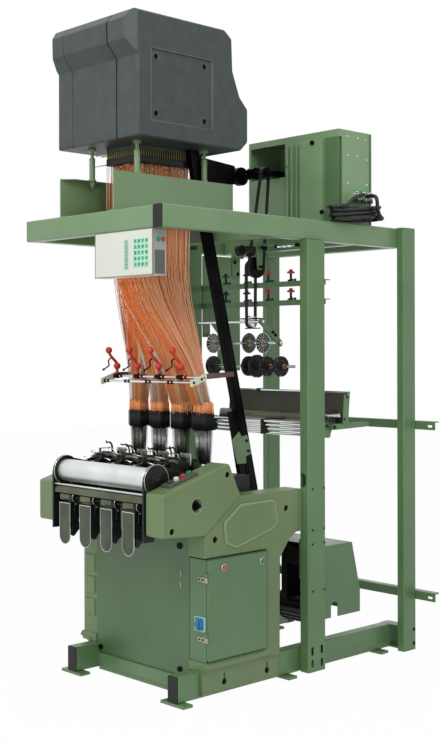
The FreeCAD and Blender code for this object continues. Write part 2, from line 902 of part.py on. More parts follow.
# ================================================================ covers
def front_cover(side):
    """The cover in front of a casting's arm: a shell that is open towards the machine."""
    inner = loom_x + side * (casting_inner + cover_inset)
    outer = loom_x + side * (casting_inner + casting_width + cover_overhang)
    run = seam_top_y - casting_front_y
    rise = arm_top_z - seam_low_z
    drop = seam_gap * math.hypot(run, rise) / run
    points = [(cover_front_y, cover_bottom_z), (cover_front_y, cover_front_z), (cover_peak_y, cover_peak_z),
              (seam_top_y + drop, arm_top_z + seam_gap), (casting_front_y - seam_gap, seam_low_z + seam_gap + 1)]
    body = plate_x(points, inner, outer, [12.0, 12.0, 16.0, 6.0, 8.0])
    body = body.makeFillet(8.0, edges_on_x(body, outer))
    wall = cover_wall
    body = body.cut(plate_x(shrunk(points, wall), inner, outer - side * (wall + recess_depth), 8.0))
    for y, z, radius in ((shaft_recess_y, shaft_recess_z, shaft_recess_radius),
                         (low_recess_y, low_recess_z, small_recess_radius),
                         (high_recess_y - 8, high_recess_z, small_recess_radius)):
        cone = Part.makeCone(radius, radius * recess_floor, recess_depth, vec(outer, y, z), vec(-side, 0, 0))
        body = body.cut(cone)
        boss = round_bar(vec(outer - side * recess_depth, y, z), vec(side, 0, 0), bolt_radius, recess_depth - 4)
        body = body.fuse(boss)
    return body.removeSplitter()


def cover_slope():
    """Angle of the covers' tops in radians."""
    return math.atan2(cover_peak_z - cover_front_z, cover_peak_y - cover_front_y)


def on_strip(shape):
    """Moves a shape drawn at the origin, with Y along the strip, to its place on the right cover."""
    z = cover_front_z + (strip_middle_y - cover_front_y) * math.tan(cover_slope())
    place = FreeCAD.Placement(vec(strip_x, strip_middle_y, z), FreeCAD.Rotation(vec(1, 0, 0), math.degrees(cover_slope())))
    moved = shape.copy()
    moved.Placement = place.multiply(moved.Placement)
    return moved


def strip_places():
    return [strip_button_pitch * (i - 1.5) for i in range(4)]


def control_strip():
    half_width, half_length = strip_width / 2, strip_length / 2
    body = plate_z(rectangle(-half_width, half_width, -half_length, half_length), 0, strip_height, 6.0)
    for y in strip_places():
        well = round_bar(vec(0, y, strip_height - button_well), vec(0, 0, 1),
                         strip_button_radius + seat_gap, button_well)
        body = body.cut(well)
    return on_strip(body)


def push_button(radius, rise, well, stroke):
    """A button at the origin whose face plate lies at Z = 0; it points along +Z."""
    stem = round_bar(vec(0, 0, stroke + seat_gap - well), vec(0, 0, 1), radius, rise + well - stroke - seat_gap)
    rim = [e for e in stem.Edges if abs(e.BoundBox.ZMin - rise) < 1e-4 and abs(e.BoundBox.ZMax - rise) < 1e-4]
    return stem.makeFillet(2.0, rim)


def strip_button(index):
    button = push_button(strip_button_radius, strip_button_rise, button_well, button_stroke)
    button.translate(vec(0, strip_places()[index], strip_height))
    return on_strip(button)


# ================================================================ front panel
def front_panel():
    x0, x1 = loom_x - casting_inner, loom_x + casting_inner
    y0 = panel_front_y
    face = block(x0, x1, y0, y0 + sheet, plinth_top + 2, panel_top_z)
    sides = [block(x0, x0 + sheet, y0, y0 + panel_return, plinth_top + 2, panel_top_z),
             block(x1 - sheet, x1, y0, y0 + panel_return, plinth_top + 2, panel_top_z),
             block(x0, x1, y0, y0 + panel_return, plinth_top + 2, plinth_top + 2 + sheet),
             block(x0, x1, y0, y0 + panel_return, panel_top_z - sheet, panel_top_z)]
    panel = fused([face] + sides)
    beam_side = beam_offset - beam_width / 2 - seat_gap
    for a, b in ((x0 - 1, -beam_side), (beam_side, x1 + 1)):
        if b > a:
            panel = panel.cut(block(a, b, y0 - 1, y0 + panel_return + 1, plinth_top, beam_top + seat_gap))
    for i in range(2):
        z = vent_low_z + vent_pitch * i
        panel = panel.cut(block(vent_x - vent_width / 2, vent_x + vent_width / 2, y0 - 1, y0 + sheet + 1,
                                z, z + vent_height))
    return panel


# ================================================================ electrical cabinet
def hinge_axis():
    return cabinet_outer_x + door_thickness / 2 + seat_gap, cabinet_front_y - hinge_out


def cabinet_gear():
    """The mounting plate inside the cabinet, with rails of switchgear."""
    x = cabinet_inner_x + sheet + gear_plate_gap
    y0, y1 = cabinet_front_y + sheet + 12, cabinet_rear_y - sheet - 12
    pieces = [block(x, x + 2, y0, y1, bay_bottom_z + 18, cabinet_top_z - 18)]
    for y in (y0 + 15, y1 - 15):
        for z in (bay_bottom_z + 33, cabinet_top_z - 33):
            pieces.append(along_x(y, z, 5.0, cabinet_inner_x + sheet, x))
    pitch = (y1 - y0 - 20) / gear_count
    for i in range(gear_rail_count):
        z = gear_rail_low_z + gear_rail_pitch * i
        pieces.append(block(x + 2, x + 9, y0 + 6, y1 - 6, z - 17, z + 17))
        for k in range(gear_count - i):
            y = y0 + 10 + pitch * k
            pieces.append(block(x + 9, x + 9 + gear_depth - 10, y, y + gear_width, z - gear_height / 2,
                                z + gear_height / 2))
            pieces.append(block(x + 9, x + 9 + gear_depth, y, y + gear_width, z - gear_height / 4,
                                z + gear_height / 4))
    return pieces


def electrical_cabinet():
    z0 = bay_bottom_z + seat_gap
    outer = block(cabinet_inner_x, cabinet_outer_x, cabinet_front_y, cabinet_rear_y, z0, cabinet_top_z)
    inner = block(cabinet_inner_x + sheet, cabinet_outer_x, cabinet_front_y + sheet, cabinet_rear_y - sheet,
                  z0 + sheet, cabinet_top_z - sheet)
    half = switch_plate / 2
    plate = plate_y(rectangle(switch_x - half, switch_x + half, switch_z - half, switch_z + half),
                    cabinet_front_y - switch_plate_depth, cabinet_front_y, 5.0)
    pieces = [outer.cut(inner), plate] + cabinet_gear()
    x, y = hinge_axis()
    for z in (hinge_low_z, hinge_high_z):
        leaf = block(cabinet_outer_x - hinge_leaf_width, cabinet_outer_x, cabinet_front_y - sheet,
                     cabinet_front_y, z, z + hinge_barrel_length)
        web = block(cabinet_outer_x - sheet, x, y - sheet, cabinet_front_y, z, z + hinge_barrel_length)
        barrel = round_bar(vec(x, y, z), vec(0, 0, 1), hinge_barrel_radius, hinge_barrel_length)
        pin = round_bar(vec(x, y, z), vec(0, 0, 1), hinge_pin_radius, 2 * hinge_barrel_length)
        pieces += [leaf, web, barrel, pin]
    return fused(pieces)


def cabinet_door():
    x0 = cabinet_outer_x + seat_gap
    x1 = x0 + door_thickness
    y0, y1 = cabinet_front_y + door_inset, cabinet_rear_y - door_inset - 3
    z0, z1 = door_bottom_z, cabinet_top_z - door_inset
    body = plate_x(rectangle(y0, y1, z0, z1), x0, x1, 4.0)
    body = body.makeFillet(2.5, edges_on_x(body, x1))
    hollow = block(x0, x1 - sheet, y0 + sheet, y1 - sheet, z0 + sheet, z1 - sheet)
    pieces = [body.cut(hollow)]
    x, y = hinge_axis()
    for z in (hinge_low_z, hinge_high_z):
        low = z + hinge_barrel_length + seat_gap
        barrel = round_bar(vec(x, y, low), vec(0, 0, 1), hinge_barrel_radius, hinge_barrel_length)
        web = block(x - 2.5, x + 2.5, y, y0 + 1, low, low + hinge_barrel_length)
        pieces += [barrel, web]
    door = fused(pieces)
    for z in (hinge_low_z, hinge_high_z):
        bore = round_bar(vec(x, y, z), vec(0, 0, 1), hinge_pin_radius + running_gap, 2 * hinge_barrel_length + 1)
        door = door.cut(bore)
    return door


def main_switch():
    y = cabinet_front_y - switch_plate_depth - seat_gap
    disc = round_bar(vec(switch_x, y, switch_z), vec(0, -1, 0), switch_radius, switch_depth / 2)
    grip = plate_y(rectangle(switch_x - 7, switch_x + 7, switch_z - switch_radius, switch_z + switch_radius),
                   y - switch_depth, y - 2, 4.0)
    return disc.fuse(grip).removeSplitter()


def door_lamps():
    lamps = []
    x = cabinet_outer_x + seat_gap + door_thickness
    for y in (red_lamp_y, green_lamp_y):
        bezel = Part.makeCone(lamp_radius, lamp_radius - 2, lamp_depth / 2, vec(x, y, lamp_z), vec(1, 0, 0))
        lens = round_bar(vec(x, y, lamp_z), vec(1, 0, 0), lamp_radius - 5, lamp_depth)
        tip = [e for e in lens.Edges if abs(e.BoundBox.XMin - x - lamp_depth) < 1e-4]
        lamps.append(bezel.fuse(lens.makeFillet(3.0, tip)))
    return group(lamps)


# ================================================================ weaving machine
bracket_left_x = loom_x - casting_inner + 1.0
bracket_right_x = loom_x + casting_inner - 1.0 - bracket_thickness


def machine_bed():
    """The cast bed between the side castings, with ribs below and pads at its ends."""
    x0 = bracket_left_x + bracket_thickness + seat_gap
    x1 = bracket_right_x - seat_gap
    top = block(x0, x1, bed_front_y, bed_rear_y, bed_top_z - 20, bed_top_z)
    front = block(x0, x1, bed_front_y, bed_front_y + 16, bed_bottom_z, bed_top_z)
    rear = block(x0, x1, bed_rear_y - 16, bed_rear_y, bed_bottom_z, bed_top_z)
    pieces = [top, front, rear]
    count = int((x1 - x0) // bed_rib_pitch)
    pitch = (x1 - x0 - rib_thickness) / count
    for i in range(count + 1):
        x = x0 + pitch * i
        pieces.append(block(x, x + rib_thickness, bed_front_y, bed_rear_y, bed_bottom_z, bed_top_z))
    ends = block(loom_x - casting_inner, loom_x + casting_inner, bed_end_y, bed_rear_y, bed_bottom_z, bed_top_z)
    ends = ends.cut(block(x0 + 1, x1 - 1, bed_end_y - 1, bed_rear_y + 1, bed_bottom_z - 1, bed_top_z + 1))
    return fused(pieces + [ends])


def weaving_heads():
    heads = []
    z0 = bed_top_z
    z1 = bed_top_z + head_height
    y0, y1 = head_front_y, head_front_y + head_length
    for x in head_positions():
        half = head_width / 2
        base_points = [(y0, z0), (y1 + 60, z0), (y1 + 60, z0 + 18), (y1, z0 + 22), (y1 - 30, z0 + 30),
                       (y0 + 20, z0 + 30), (y0, z0 + 14)]
        base = plate_x(base_points, x - half, x + half)
        table = [(y0 + 4, z0 + 20), (y0 + 60, z1), (y0 + 128, z1), (y0 + 128, z0 + 20)]
        table = plate_x(table, x - ribbon_table_width / 2, x + ribbon_table_width / 2)
        pieces = [base, table]
        cheek_points = [(y0 + 70, z0 + 20), (y0 + 56, z1 + 4), (y0 + 64, z1 + cheek_height), (y0 + 96, z1 + cheek_height),
                        (y0 + 150, z1 + 8), (y0 + 160, z0 + 20)]
        for side in (-1, 1):
            c = x + side * (half - cheek_thickness / 2)
            cheek = plate_x(cheek_points, c - cheek_thickness / 2, c + cheek_thickness / 2)
            bore = along_x(needle_pivot_y, needle_pivot_z, needle_shaft_radius + running_gap, c - 10, c + 10)
            pieces.append(cheek.cut(bore))
        stand_points = [(batten_pivot_y - 18, z0 + 10), (batten_pivot_y - 14, batten_pivot_z + 16),
                        (batten_pivot_y + 14, batten_pivot_z + 16), (batten_pivot_y + 18, z0 + 10)]
        stand = plate_x(stand_points, x - half, x - half + 14, 6.0)
        bore = along_x(batten_pivot_y, batten_pivot_z, batten_shaft_radius + running_gap, x - half - 1, x - half + 15)
        pieces.append(stand.cut(bore))
        heads.append(fused(pieces))
    return group(heads)


def reed_batten():
    """The batten shaft with four reeds; each reed is a frame with upright dents."""
    places = head_positions()
    pieces = [along_x(batten_pivot_y, batten_pivot_z, batten_shaft_radius, places[0] - 60, places[-1] + 60)]
    for x in places:
        y1 = batten_pivot_y - reed_reach
        z0 = batten_pivot_z + reed_rise
        arm_points = [(batten_pivot_y + 12, batten_pivot_z - 12), (batten_pivot_y + 12, batten_pivot_z + 12),
                      (y1 + 6, z0 + 14), (y1 - reed_depth, z0 + 14), (y1 - reed_depth, z0 + 2)]
        c = x + 12
        pieces.append(plate_x(arm_points, c - 6, c + 6, 3.0))
        half = reed_width / 2
        frame = block(x - half, x + half, y1 - reed_depth, y1, z0, z0 + reed_height)
        pitch = (reed_width - 2 * reed_frame) / dents
        for i in range(dents):
            gap_x = x - half + reed_frame + pitch * i
            gap = block(gap_x + 0.4 * pitch, gap_x + pitch, y1 - reed_depth - 1, y1 + 1,
                        z0 + 2.4 * reed_frame, z0 + reed_height - reed_frame)
            frame = frame.cut(gap)
        pieces.append(frame)
    return fused(pieces)


def needle_arms():
    """The sliding weft bar with four sickle-shaped weft needles on short posts."""
    places = head_positions()
    y, z = needle_pivot_y, needle_pivot_z
    pieces = [along_x(y, z, needle_shaft_radius, places[0] - 60, places[-1] + 60)]
    reach = needle_reach
    top = z + needle_rise
    for x in places:
        c = x - needle_offset
        hub = along_x(y, z, needle_shaft_radius + 5, c - 8, c + 8)
        post = round_bar(vec(c, y, z), vec(0, 0, 1), 5.0, needle_rise)
        sickle = [(c - 7, y - 6), (c - 9, y + 10), (c - 2, y + 0.7 * reach), (c + 0.6 * reach, y + reach),
                  (c + 0.3 * reach, y + 0.66 * reach), (c + 7, y + 8), (c + 7, y - 6)]
        blade = plate_z(sickle, top - needle_thickness, top, [5, 20, 16, 0, 20, 8, 5])
        pieces += [hub, post, blade]
    return fused(pieces)


# ================================================================ take-up
def takeup_brackets():
    """End brackets of the take-up, the bar between them and four arms with roller bearings."""
    r = bracket_radius
    y0 = bracket_arm_front_y
    pieces = []
    for x in (bracket_left_x, bracket_right_x):
        x1 = x + bracket_thickness
        head = along_x(roller_y, roller_z, r, x, x1)
        arm = plate_x(rectangle(y0, y0 + bracket_arm_width, bracket_arm_low_z, roller_z), x, x1)
        lobe = plate_x([(roller_y, roller_z + r - 4), (bracket_lobe_y, bed_top_z + 44), (bracket_lobe_y + 20, bed_top_z),
                        (bracket_lobe_y + 10, bed_bottom_z + 6), (roller_y, roller_z - r + 10)], x, x1)
        bore = along_x(roller_y, roller_z, roller_shaft_radius + running_gap, x - 1, x1 + 1)
        pieces.append(fused([head, arm, lobe]).cut(bore))
    bar_x0 = bracket_left_x + bracket_thickness
    bar_y = y0 + bracket_arm_width - 20
    arms = [block(bar_x0, bracket_right_x, bar_y, bar_y + 16, bracket_arm_low_z, bracket_arm_low_z + 30)]
    for x in head_positions():
        c = x + hub_offset - hub_length - seat_gap - 7
        points = [(cloth_roller_y - 14, cloth_roller_z + 14), (bar_y + 10, cloth_roller_z + 8),
                  (bar_y + 16, bracket_arm_low_z), (bar_y - 14, bracket_arm_low_z - 30),
                  (cloth_roller_y - 14, bracket_arm_low_z - 24)]
        arm = plate_x(points, c - 6, c + 6)
        bore = along_x(cloth_roller_y, cloth_roller_z, cloth_shaft_radius + running_gap, c - 7, c + 7)
        arms.append(arm.cut(bore))
    return group(pieces + [fused(arms)])


def takeup_roller():
    x0 = bracket_left_x + bracket_thickness + roller_end_gap
    x1 = bracket_right_x - roller_end_gap
    barrel = along_x(roller_y, roller_z, roller_radius, x0, x1)
    shaft = along_x(roller_y, roller_z, roller_shaft_radius, bracket_left_x + 1, bracket_right_x + bracket_thickness - 1)
    return barrel.fuse(shaft)


def cloth_rollers():
    places = head_positions()
    first = places[0] - cloth_roller_length / 2 - 6
    last = places[-1] + hub_offset + hub_length
    pieces = [along_x(cloth_roller_y, cloth_roller_z, cloth_shaft_radius, first, last)]
    for x in places:
        end = x + hub_offset - hub_length - seat_gap - 13 - seat_gap
        pieces.append(along_x(cloth_roller_y, cloth_roller_z, cloth_roller_radius, end - cloth_roller_length, end))
        pieces.append(along_x(cloth_roller_y, cloth_roller_z, hub_radius, x + hub_offset - hub_length, x + hub_offset))
    return fused(pieces)


def ribbon_chutes():
    """Four round-ended chute plates, hung by a folded lip on the bar of the take-up."""
    chutes = []
    for x in head_positions():
        c = x - 4
        half = chute_width / 2
        points = rectangle(c - half, c + half, chute_bottom_z, chute_top_z)
        plate = plate_y(points, chute_front_y, chute_front_y + sheet, [half * 0.98, half * 0.98, 3.0, 3.0])
        lip_y = bracket_arm_front_y + bracket_arm_width - 20
        arm = block(c - 10, c + 10, chute_front_y + sheet, lip_y, bracket_arm_low_z + 4, bracket_arm_low_z + 24)
        lip = block(c - half + 3, c + half - 3, chute_front_y + sheet, chute_front_y + sheet + chute_lip - 6,
                    chute_top_z - sheet, chute_top_z)
        chutes.append(fused([plate, arm, lip]))
    return group(chutes)


def guide_rods():
    x0 = bracket_left_x + bracket_thickness
    thin = along_x(guide_rod_y, guide_rod_z, rod_radius, x0, bracket_right_x)
    thick = along_x(press_bar_y, press_bar_z, press_bar_radius, x0, bracket_right_x)
    return group([thin, thick])


# ================================================================ jacquard head
def head_channels():
    channels = []
    for x, side in ((channel_right_x, 1), (channel_left_x, -1)):
        top = rail_top + channel_height
        inner = x - side * channel_flange
        low_inner = x - side * channel_low_flange
        web = plate_x(rectangle(channel_front_y, channel_rear_y, rail_top, top), x - side * tube_wall, x)
        low = plate_z([(x, channel_front_y), (x, channel_rear_y), (low_inner, channel_rear_y),
                       (low_inner, channel_front_y)], rail_top, rail_top + tube_wall)
        high = plate_z([(x, channel_front_y), (x, channel_rear_y), (inner, channel_rear_y),
                        (inner, channel_front_y + channel_chamfer)], top - tube_wall, top)
        channel = fused([web, low, high])
        leg_x = x - side * leg_inset
        for y in (leg_front_y, leg_rear_y):
            hole = round_bar(vec(leg_x, y, top - tube_wall - 1), vec(0, 0, 1), leg_neck_radius + seat_gap, tube_wall + 2)
            channel = channel.cut(hole)
        channels.append(channel)
    return group(channels)


def head_legs():
    legs = []
    top = rail_top + channel_height
    for x in (channel_right_x - leg_inset, channel_left_x + leg_inset):
        for y in (leg_front_y, leg_rear_y):
            profile = [(0, top - 30), (leg_neck_radius, top - 30), (leg_neck_radius, top),
                       (leg_foot_radius, top), (leg_foot_radius, top + 7), (leg_radius, top + 7),
                       (leg_radius, leg_sleeve_top_z), (leg_neck_radius, leg_sleeve_top_z),
                       (leg_neck_radius, head_bottom_z - 12), (leg_foot_radius, head_bottom_z - 12),
                       (leg_foot_radius, head_bottom_z), (0, head_bottom_z)]
            wire = outline([vec(x + r, y, z) for r, z in profile])
            leg = Part.Face(wire).revolve(vec(x, y, 0), vec(0, 0, 1), 360)
            nut = round_bar(vec(x, y, top - tube_wall - 16), vec(0, 0, 1), leg_radius, 16)
            legs.append(leg.fuse(nut))
    return group(legs)


def head_rise(share):
    """A height on the head's cover, from a share of the way up."""
    return head_bottom_z + share * (head_top_z - head_bottom_z)


def cover_outline():
    """The cover's outline from the side: overhanging band in front, stepped back."""
    front, band, back = head_main_front_y, head_band_front_y, head_back_y
    return [(front, head_bottom_z), (front, head_rise(band_root_share)), (band, head_rise(band_low_share)),
            (band - band_face, head_rise(band_high_share)), (band + band_round, head_top_z),
            (back - shoulder_front, head_top_z), (back - shoulder_rear, head_rise(shoulder_share)),
            (back - knee_reach, head_rise(back_knee_share)), (back - slope_reach, head_rise(back_slope_share)),
            (back, head_rise(back_high_share)), (back, head_rise(back_low_share)),
            (back - underside_reach, head_bottom_z)]


cover_radii = [8, 8, 6, 8, 12, 20, 14, 30, 30, 14, 14, 10]


def corner_wedge(x, side, grow=0.0):
    """The wedge that bevels a front corner of the band; grow moves its slanting face inwards."""
    front = head_band_front_y - 20
    points = [(x + side, head_main_front_y + grow), (x + side, front),
              (x - side * (head_corner_run + 0.6 * grow), front)]
    return plate_z(points, head_bottom_z - 1, head_top_z + 1)


def side_panel(x, side):
    """The recess in a side of the cover, its walls sloped."""
    low, high = head_rise(panel_low_share), head_rise(panel_high_share)
    wires = []
    for out, slope in ((1.0, 0.0), (-panel_recess, panel_slope)):
        points = inset(panel_low_y, panel_high_y, low, high, slope)
        wires.append(outline([vec(x + side * out, y, z) for y, z in points]))
    return Part.makeLoft(wires, True, True)


def screw_places():
    for y in (panel_low_y + screw_inset, panel_high_y - screw_inset - 10):
        for z in (head_rise(panel_low_share) + screw_inset, head_rise(panel_high_share) - screw_inset):
            yield y, z


def cover_seam(x, width):
    """A groove that runs round the cover's front, top and underside at x."""
    ring = plate_x(cover_outline(), x - width / 2, x + width / 2)
    core = ring.copy()
    scale = FreeCAD.Matrix()
    middle_y, middle_z = (head_main_front_y + head_back_y) / 2, (head_bottom_z + head_top_z) / 2
    factor_y = 1 - 2 * seam_depth / (head_back_y - head_main_front_y)
    factor_z = 1 - 2 * seam_depth / (head_top_z - head_bottom_z)
    scale.scale(1, factor_y, factor_z)
    core.translate(vec(0, -middle_y, -middle_z))
    core = core.transformGeometry(scale)
    core.translate(vec(0, middle_y, middle_z))
    front = block(x - width, x + width, head_band_front_y - 60, seam_end_y, head_bottom_z - 1, head_top_z + 1)
    return ring.cut(core).common(front)


def jacquard_cover():
    """The moulded cover of the jacquard head, with its overhanging front band."""
    sides = ((head_left_x, -1), (head_right_x, 1))
    body = plate_x(cover_outline(), head_left_x, head_right_x, cover_radii)
    body = body.makeChamfer(head_edge_bevel, edges_on_x(body, head_left_x) + edges_on_x(body, head_right_x))
    hollow = plate_x(shrunk(cover_outline(), head_wall), head_left_x + head_wall, head_right_x - head_wall)
    for x, side in sides:
        body = body.cut(corner_wedge(x, side))
        hollow = hollow.cut(corner_wedge(x, side, 2 * head_wall))
    m = head_opening_margin
    opening = block(hook_left_x + m, hook_right_x - m, hook_front_y + m, hook_rear_y - m,
                    head_bottom_z - 1, head_bottom_z + head_wall + 1)
    body = body.cut(hollow).cut(opening)
    for x, width in ((seam_x, seam_width), (second_seam_x, second_seam_width)):
        body = body.cut(cover_seam(x, width))
    for x, side in sides:
        inward = vec(-side, 0, 0)
        depth = panel_recess + screw_well_depth
        bosses = [round_bar(vec(x - side * (head_wall - 1), y, z), inward, screw_boss_radius,
                            depth + 3 - head_wall) for y, z in screw_places()]
        wells = [round_bar(vec(x + side, y, z), inward, screw_well_radius, depth + 1) for y, z in screw_places()]
        screws = [round_bar(vec(x - side * (depth + 1), y, z), vec(side, 0, 0), screw_head_radius, 5.0)
                  for y, z in screw_places()]
        body = body.multiFuse(bosses)
        for tool in [side_panel(x, side)] + wells:
            body = body.cut(tool)
        body = body.multiFuse(screws)
    return body


# ================================================================ harness
def ridged(x0, x1, y0, y1, z, ridges, depth):
    """A closed outline in the plane Z = z whose front and back run in ridges."""
    pitch = (x1 - x0) / ridges
    front = []
    back = []
    for i in range(ridges):
        front += [(x0 + pitch * i, y0 + depth), (x0 + pitch * (i + 0.5), y0)]
        back += [(x1 - pitch * i, y1 - depth), (x1 - pitch * (i + 0.5), y1)]
    front.append((x1, y0 + depth))
    back.append((x0, y1 - depth))
    points = [vec(a, b, z) for a, b in front[:-1] + [front[-1]] + back[1:-1] + [back[-1]]]
    return outline(points)


def bundle_section(x):
    """The rectangle of a cord bundle at x."""
    return (x - bundle_width / 2, x + bundle_width / 2, bundle_y - bundle_depth / 2, bundle_y + bundle_depth / 2)


def guide_section():
    """The rectangle of all cords where they begin to part."""
    inside = hook_margin - guide_spread
    return (hook_left_x + inside, hook_right_x - inside, hook_front_y + hook_margin + guide_spread,
            hook_rear_y - hook_margin - guide_spread)


def gather_section(index):
    """The rectangle of one bundle at the rods' level."""
    share = index / (head_count - 1)
    x0, x1, y0, y1 = bundle_section(head_positions()[index])
    dx, dy = gather_shift_x * share, gather_shift_y * share
    return (x0 + dx, x1 + dx, y0 + dy, y1 + dy)


def harness_cords():
    """The harness cords: one upright body below the hooks that parts into four, all in ridges."""
    m = hook_margin
    top = ridged(hook_left_x + m, hook_right_x - m, hook_front_y + m, hook_rear_y - m, hook_bottom_z,
                 trunk_ridges, ridge_depth)
    x0, x1, y0, y1 = guide_section()
    pieces = [Part.makeLoft([top, ridged(x0, x1, y0, y1, guide_z, trunk_ridges, ridge_depth)], True, True)]
    width = (x1 - x0) / head_count
    for i, x in enumerate(head_positions()):
        a = x0 + width * i
        levels = [ridged(a + seat_gap, a + width - seat_gap, y0, y1, guide_z - seat_gap, fan_ridges, ridge_depth),
                  ridged(*gather_section(i), gather_z, fan_ridges, ridge_depth),
                  ridged(*bundle_section(x), fan_bottom_z, fan_ridges, ridge_depth)]
        pieces.append(Part.makeLoft(levels, True, True))
    return group(pieces)


def heddle_bundles():
    """A black band round each bundle, and the heddle wires below it in ridges."""
    bundles = []
    for x in head_positions():
        half, deep = bundle_width / 2, bundle_depth / 2
        z1 = fan_bottom_z - seat_gap
        z0 = z1 - band_height
        m = band_margin
        band = plate_z(rectangle(x - half - m, x + half + m, bundle_y - deep - m, bundle_y + deep + m), z0, z1)
        high = ridged(x - half, x + half, bundle_y - deep, bundle_y + deep, z0, heddle_ridges, ridge_depth)
        low = ridged(x - half + 8, x + half - 8, bundle_y - deep + 8, bundle_y + deep - 8, heddle_bottom_z,
                     heddle_ridges, ridge_depth)
        bundles.append(band.fuse(Part.makeLoft([low, high], True, True)))
    return group(bundles)


def hook_box():
    """The box of lifting hooks below the head, with a row of hook ends along each side."""
    z1 = head_bottom_z
    body = block(hook_left_x, hook_right_x, hook_front_y, hook_rear_y, hook_bottom_z, z1)
    pitch = (hook_rear_y - hook_front_y - 20) / hook_ridges
    d = hook_ridge_depth
    for x, side in ((hook_left_x, -1), (hook_right_x, 1)):
        cut = block(min(x, x - side * d), max(x, x - side * d), hook_front_y + 10, hook_rear_y - 10,
                    hook_ridge_low_z, hook_ridge_low_z + 34)
        body = body.cut(cut)
        hooks = [block(min(x, x - side * d), max(x, x - side * d), hook_front_y + 10 + pitch * (i + 0.25),
                       hook_front_y + 10 + pitch * (i + 0.75), hook_ridge_low_z, hook_ridge_low_z + 34)
                 for i in range(hook_ridges)]
        body = body.multiFuse(hooks)
    return body


# ================================================================ harness rods and levers
def guard_y(z):
    """Middle of the belt guard at a height."""
    return guard_top_y + guard_slope * (guard_top_z - z)


def harness_rods():
    """The fixed rod and the slanting end plates that hold both rods, with a strap to each side."""
    low_z = lever_rod_z - lower_rod_drop
    rod = along_x(lower_rod_y, low_z, lever_rod_radius, rod_left_x, rod_right_x)
    slope = lower_rod_drop / (lever_rod_y - lower_rod_y)
    y0, y1 = lower_rod_y - rod_plate_reach, lever_rod_y + rod_plate_reach
    z0, z1 = low_z - slope * rod_plate_reach, lever_rod_z + slope * rod_plate_reach
    half = rod_plate_height / 2
    points = [(y0, z0 - half), (y1, z1 - half), (y1, z1 + half), (y0, z0 + half)]
    t = rod_plate_thickness
    plates = []
    for x in (rod_left_x - t, rod_right_x):
        plate = plate_x(points, x, x + t)
        plates.append(plate.cut(along_x(lever_rod_y, lever_rod_z, lever_rod_radius + running_gap, x - 1, x + t + 1)))
    low = z1 - half + (rod_plate_height - strap_width) / 2
    ends = (vec(-mid_post_x, mid_post_front_y, low),
            vec(guard_x + guard_width / 2 + 2.2, guard_y(low + strap_width / 2), low))
    straps = []
    for x, end in zip((rod_left_x - t / 2, rod_right_x + t / 2), ends):
        start = vec(x, y1 - strap_thickness, low)
        along = end - start
        across = vec(-along.y, along.x, 0).normalize() * (strap_thickness / 2)
        corners = [start + across, end + across, end - across, start - across]
        strap = Part.Face(outline(corners)).extrude(vec(0, 0, strap_width))
        straps.append(strap.cut(block(-mid_post_x - 50, -mid_post_x + 50, mid_post_front_y, mid_post_front_y + 50,
                                      low - 1, low + strap_width + 1)))
    return fused(plates + straps + [rod])


def tension_levers():
    """The rocking rod with its four levers, each with a ball low down and a knob at its tip."""
    y, z = lever_rod_y, lever_rod_z
    pieces = [along_x(y, z, lever_rod_radius, rod_left_x - rod_plate_thickness, rod_right_x + rod_plate_thickness)]
    for head_x in head_positions():
        x = head_x + lever_offset
        hub = along_x(y, z, lever_hub_radius, x - lever_hub_length / 2, x + lever_hub_length / 2)
        ball = Part.makeSphere(lever_ball_radius, vec(x, y, z + lever_ball_rise))
        stem = round_bar(vec(x, y, z), vec(0, 0, 1), lever_stem_radius, lever_ball_rise)
        tip = vec(x, y - lever_knob_reach, z + lever_knob_rise)
        base = vec(x, y, z + lever_ball_rise)
        arm = round_bar(base, tip - base, lever_arm_radius, base.distanceToPoint(tip))
        knob = Part.makeSphere(lever_knob_radius, tip)
        pieces += [hub, ball, stem, arm, knob]
    return fused(pieces)


# ================================================================ belt guard and motor
def belt_guard():
    """The long slanting belt guard, and a short one between the head and the rear shaft."""
    half = guard_depth / 2 * math.hypot(1, guard_slope)
    z0, z1 = guard_lower_end_z, head_bottom_z - seat_gap
    points = [(guard_y(z0) - half, z0), (guard_y(z0) + half, z0), (guard_y(z1) + half, z1), (guard_y(z1) - half, z1)]
    x0, x1 = guard_x - guard_width / 2, guard_x + guard_width / 2
    long_guard = plate_x(points, x0, x1, 3.0)
    y0, y1 = upper_guard_front_y, upper_guard_rear_y
    z = top_shaft_z
    r = head_pulley_radius
    short_points = [(y0, z1), (y0, z - r - 4), (y1 - upper_guard_toe, z - r - 12), (y1, z - r), (y1, z + r),
                    (y0 + upper_guard_heel, z1)]
    half = upper_guard_width / 2
    short_guard = plate_x(short_points, upper_guard_x - half, upper_guard_x + half, [4, 8, 20, 12, 12, 4])
    return group([long_guard, short_guard])


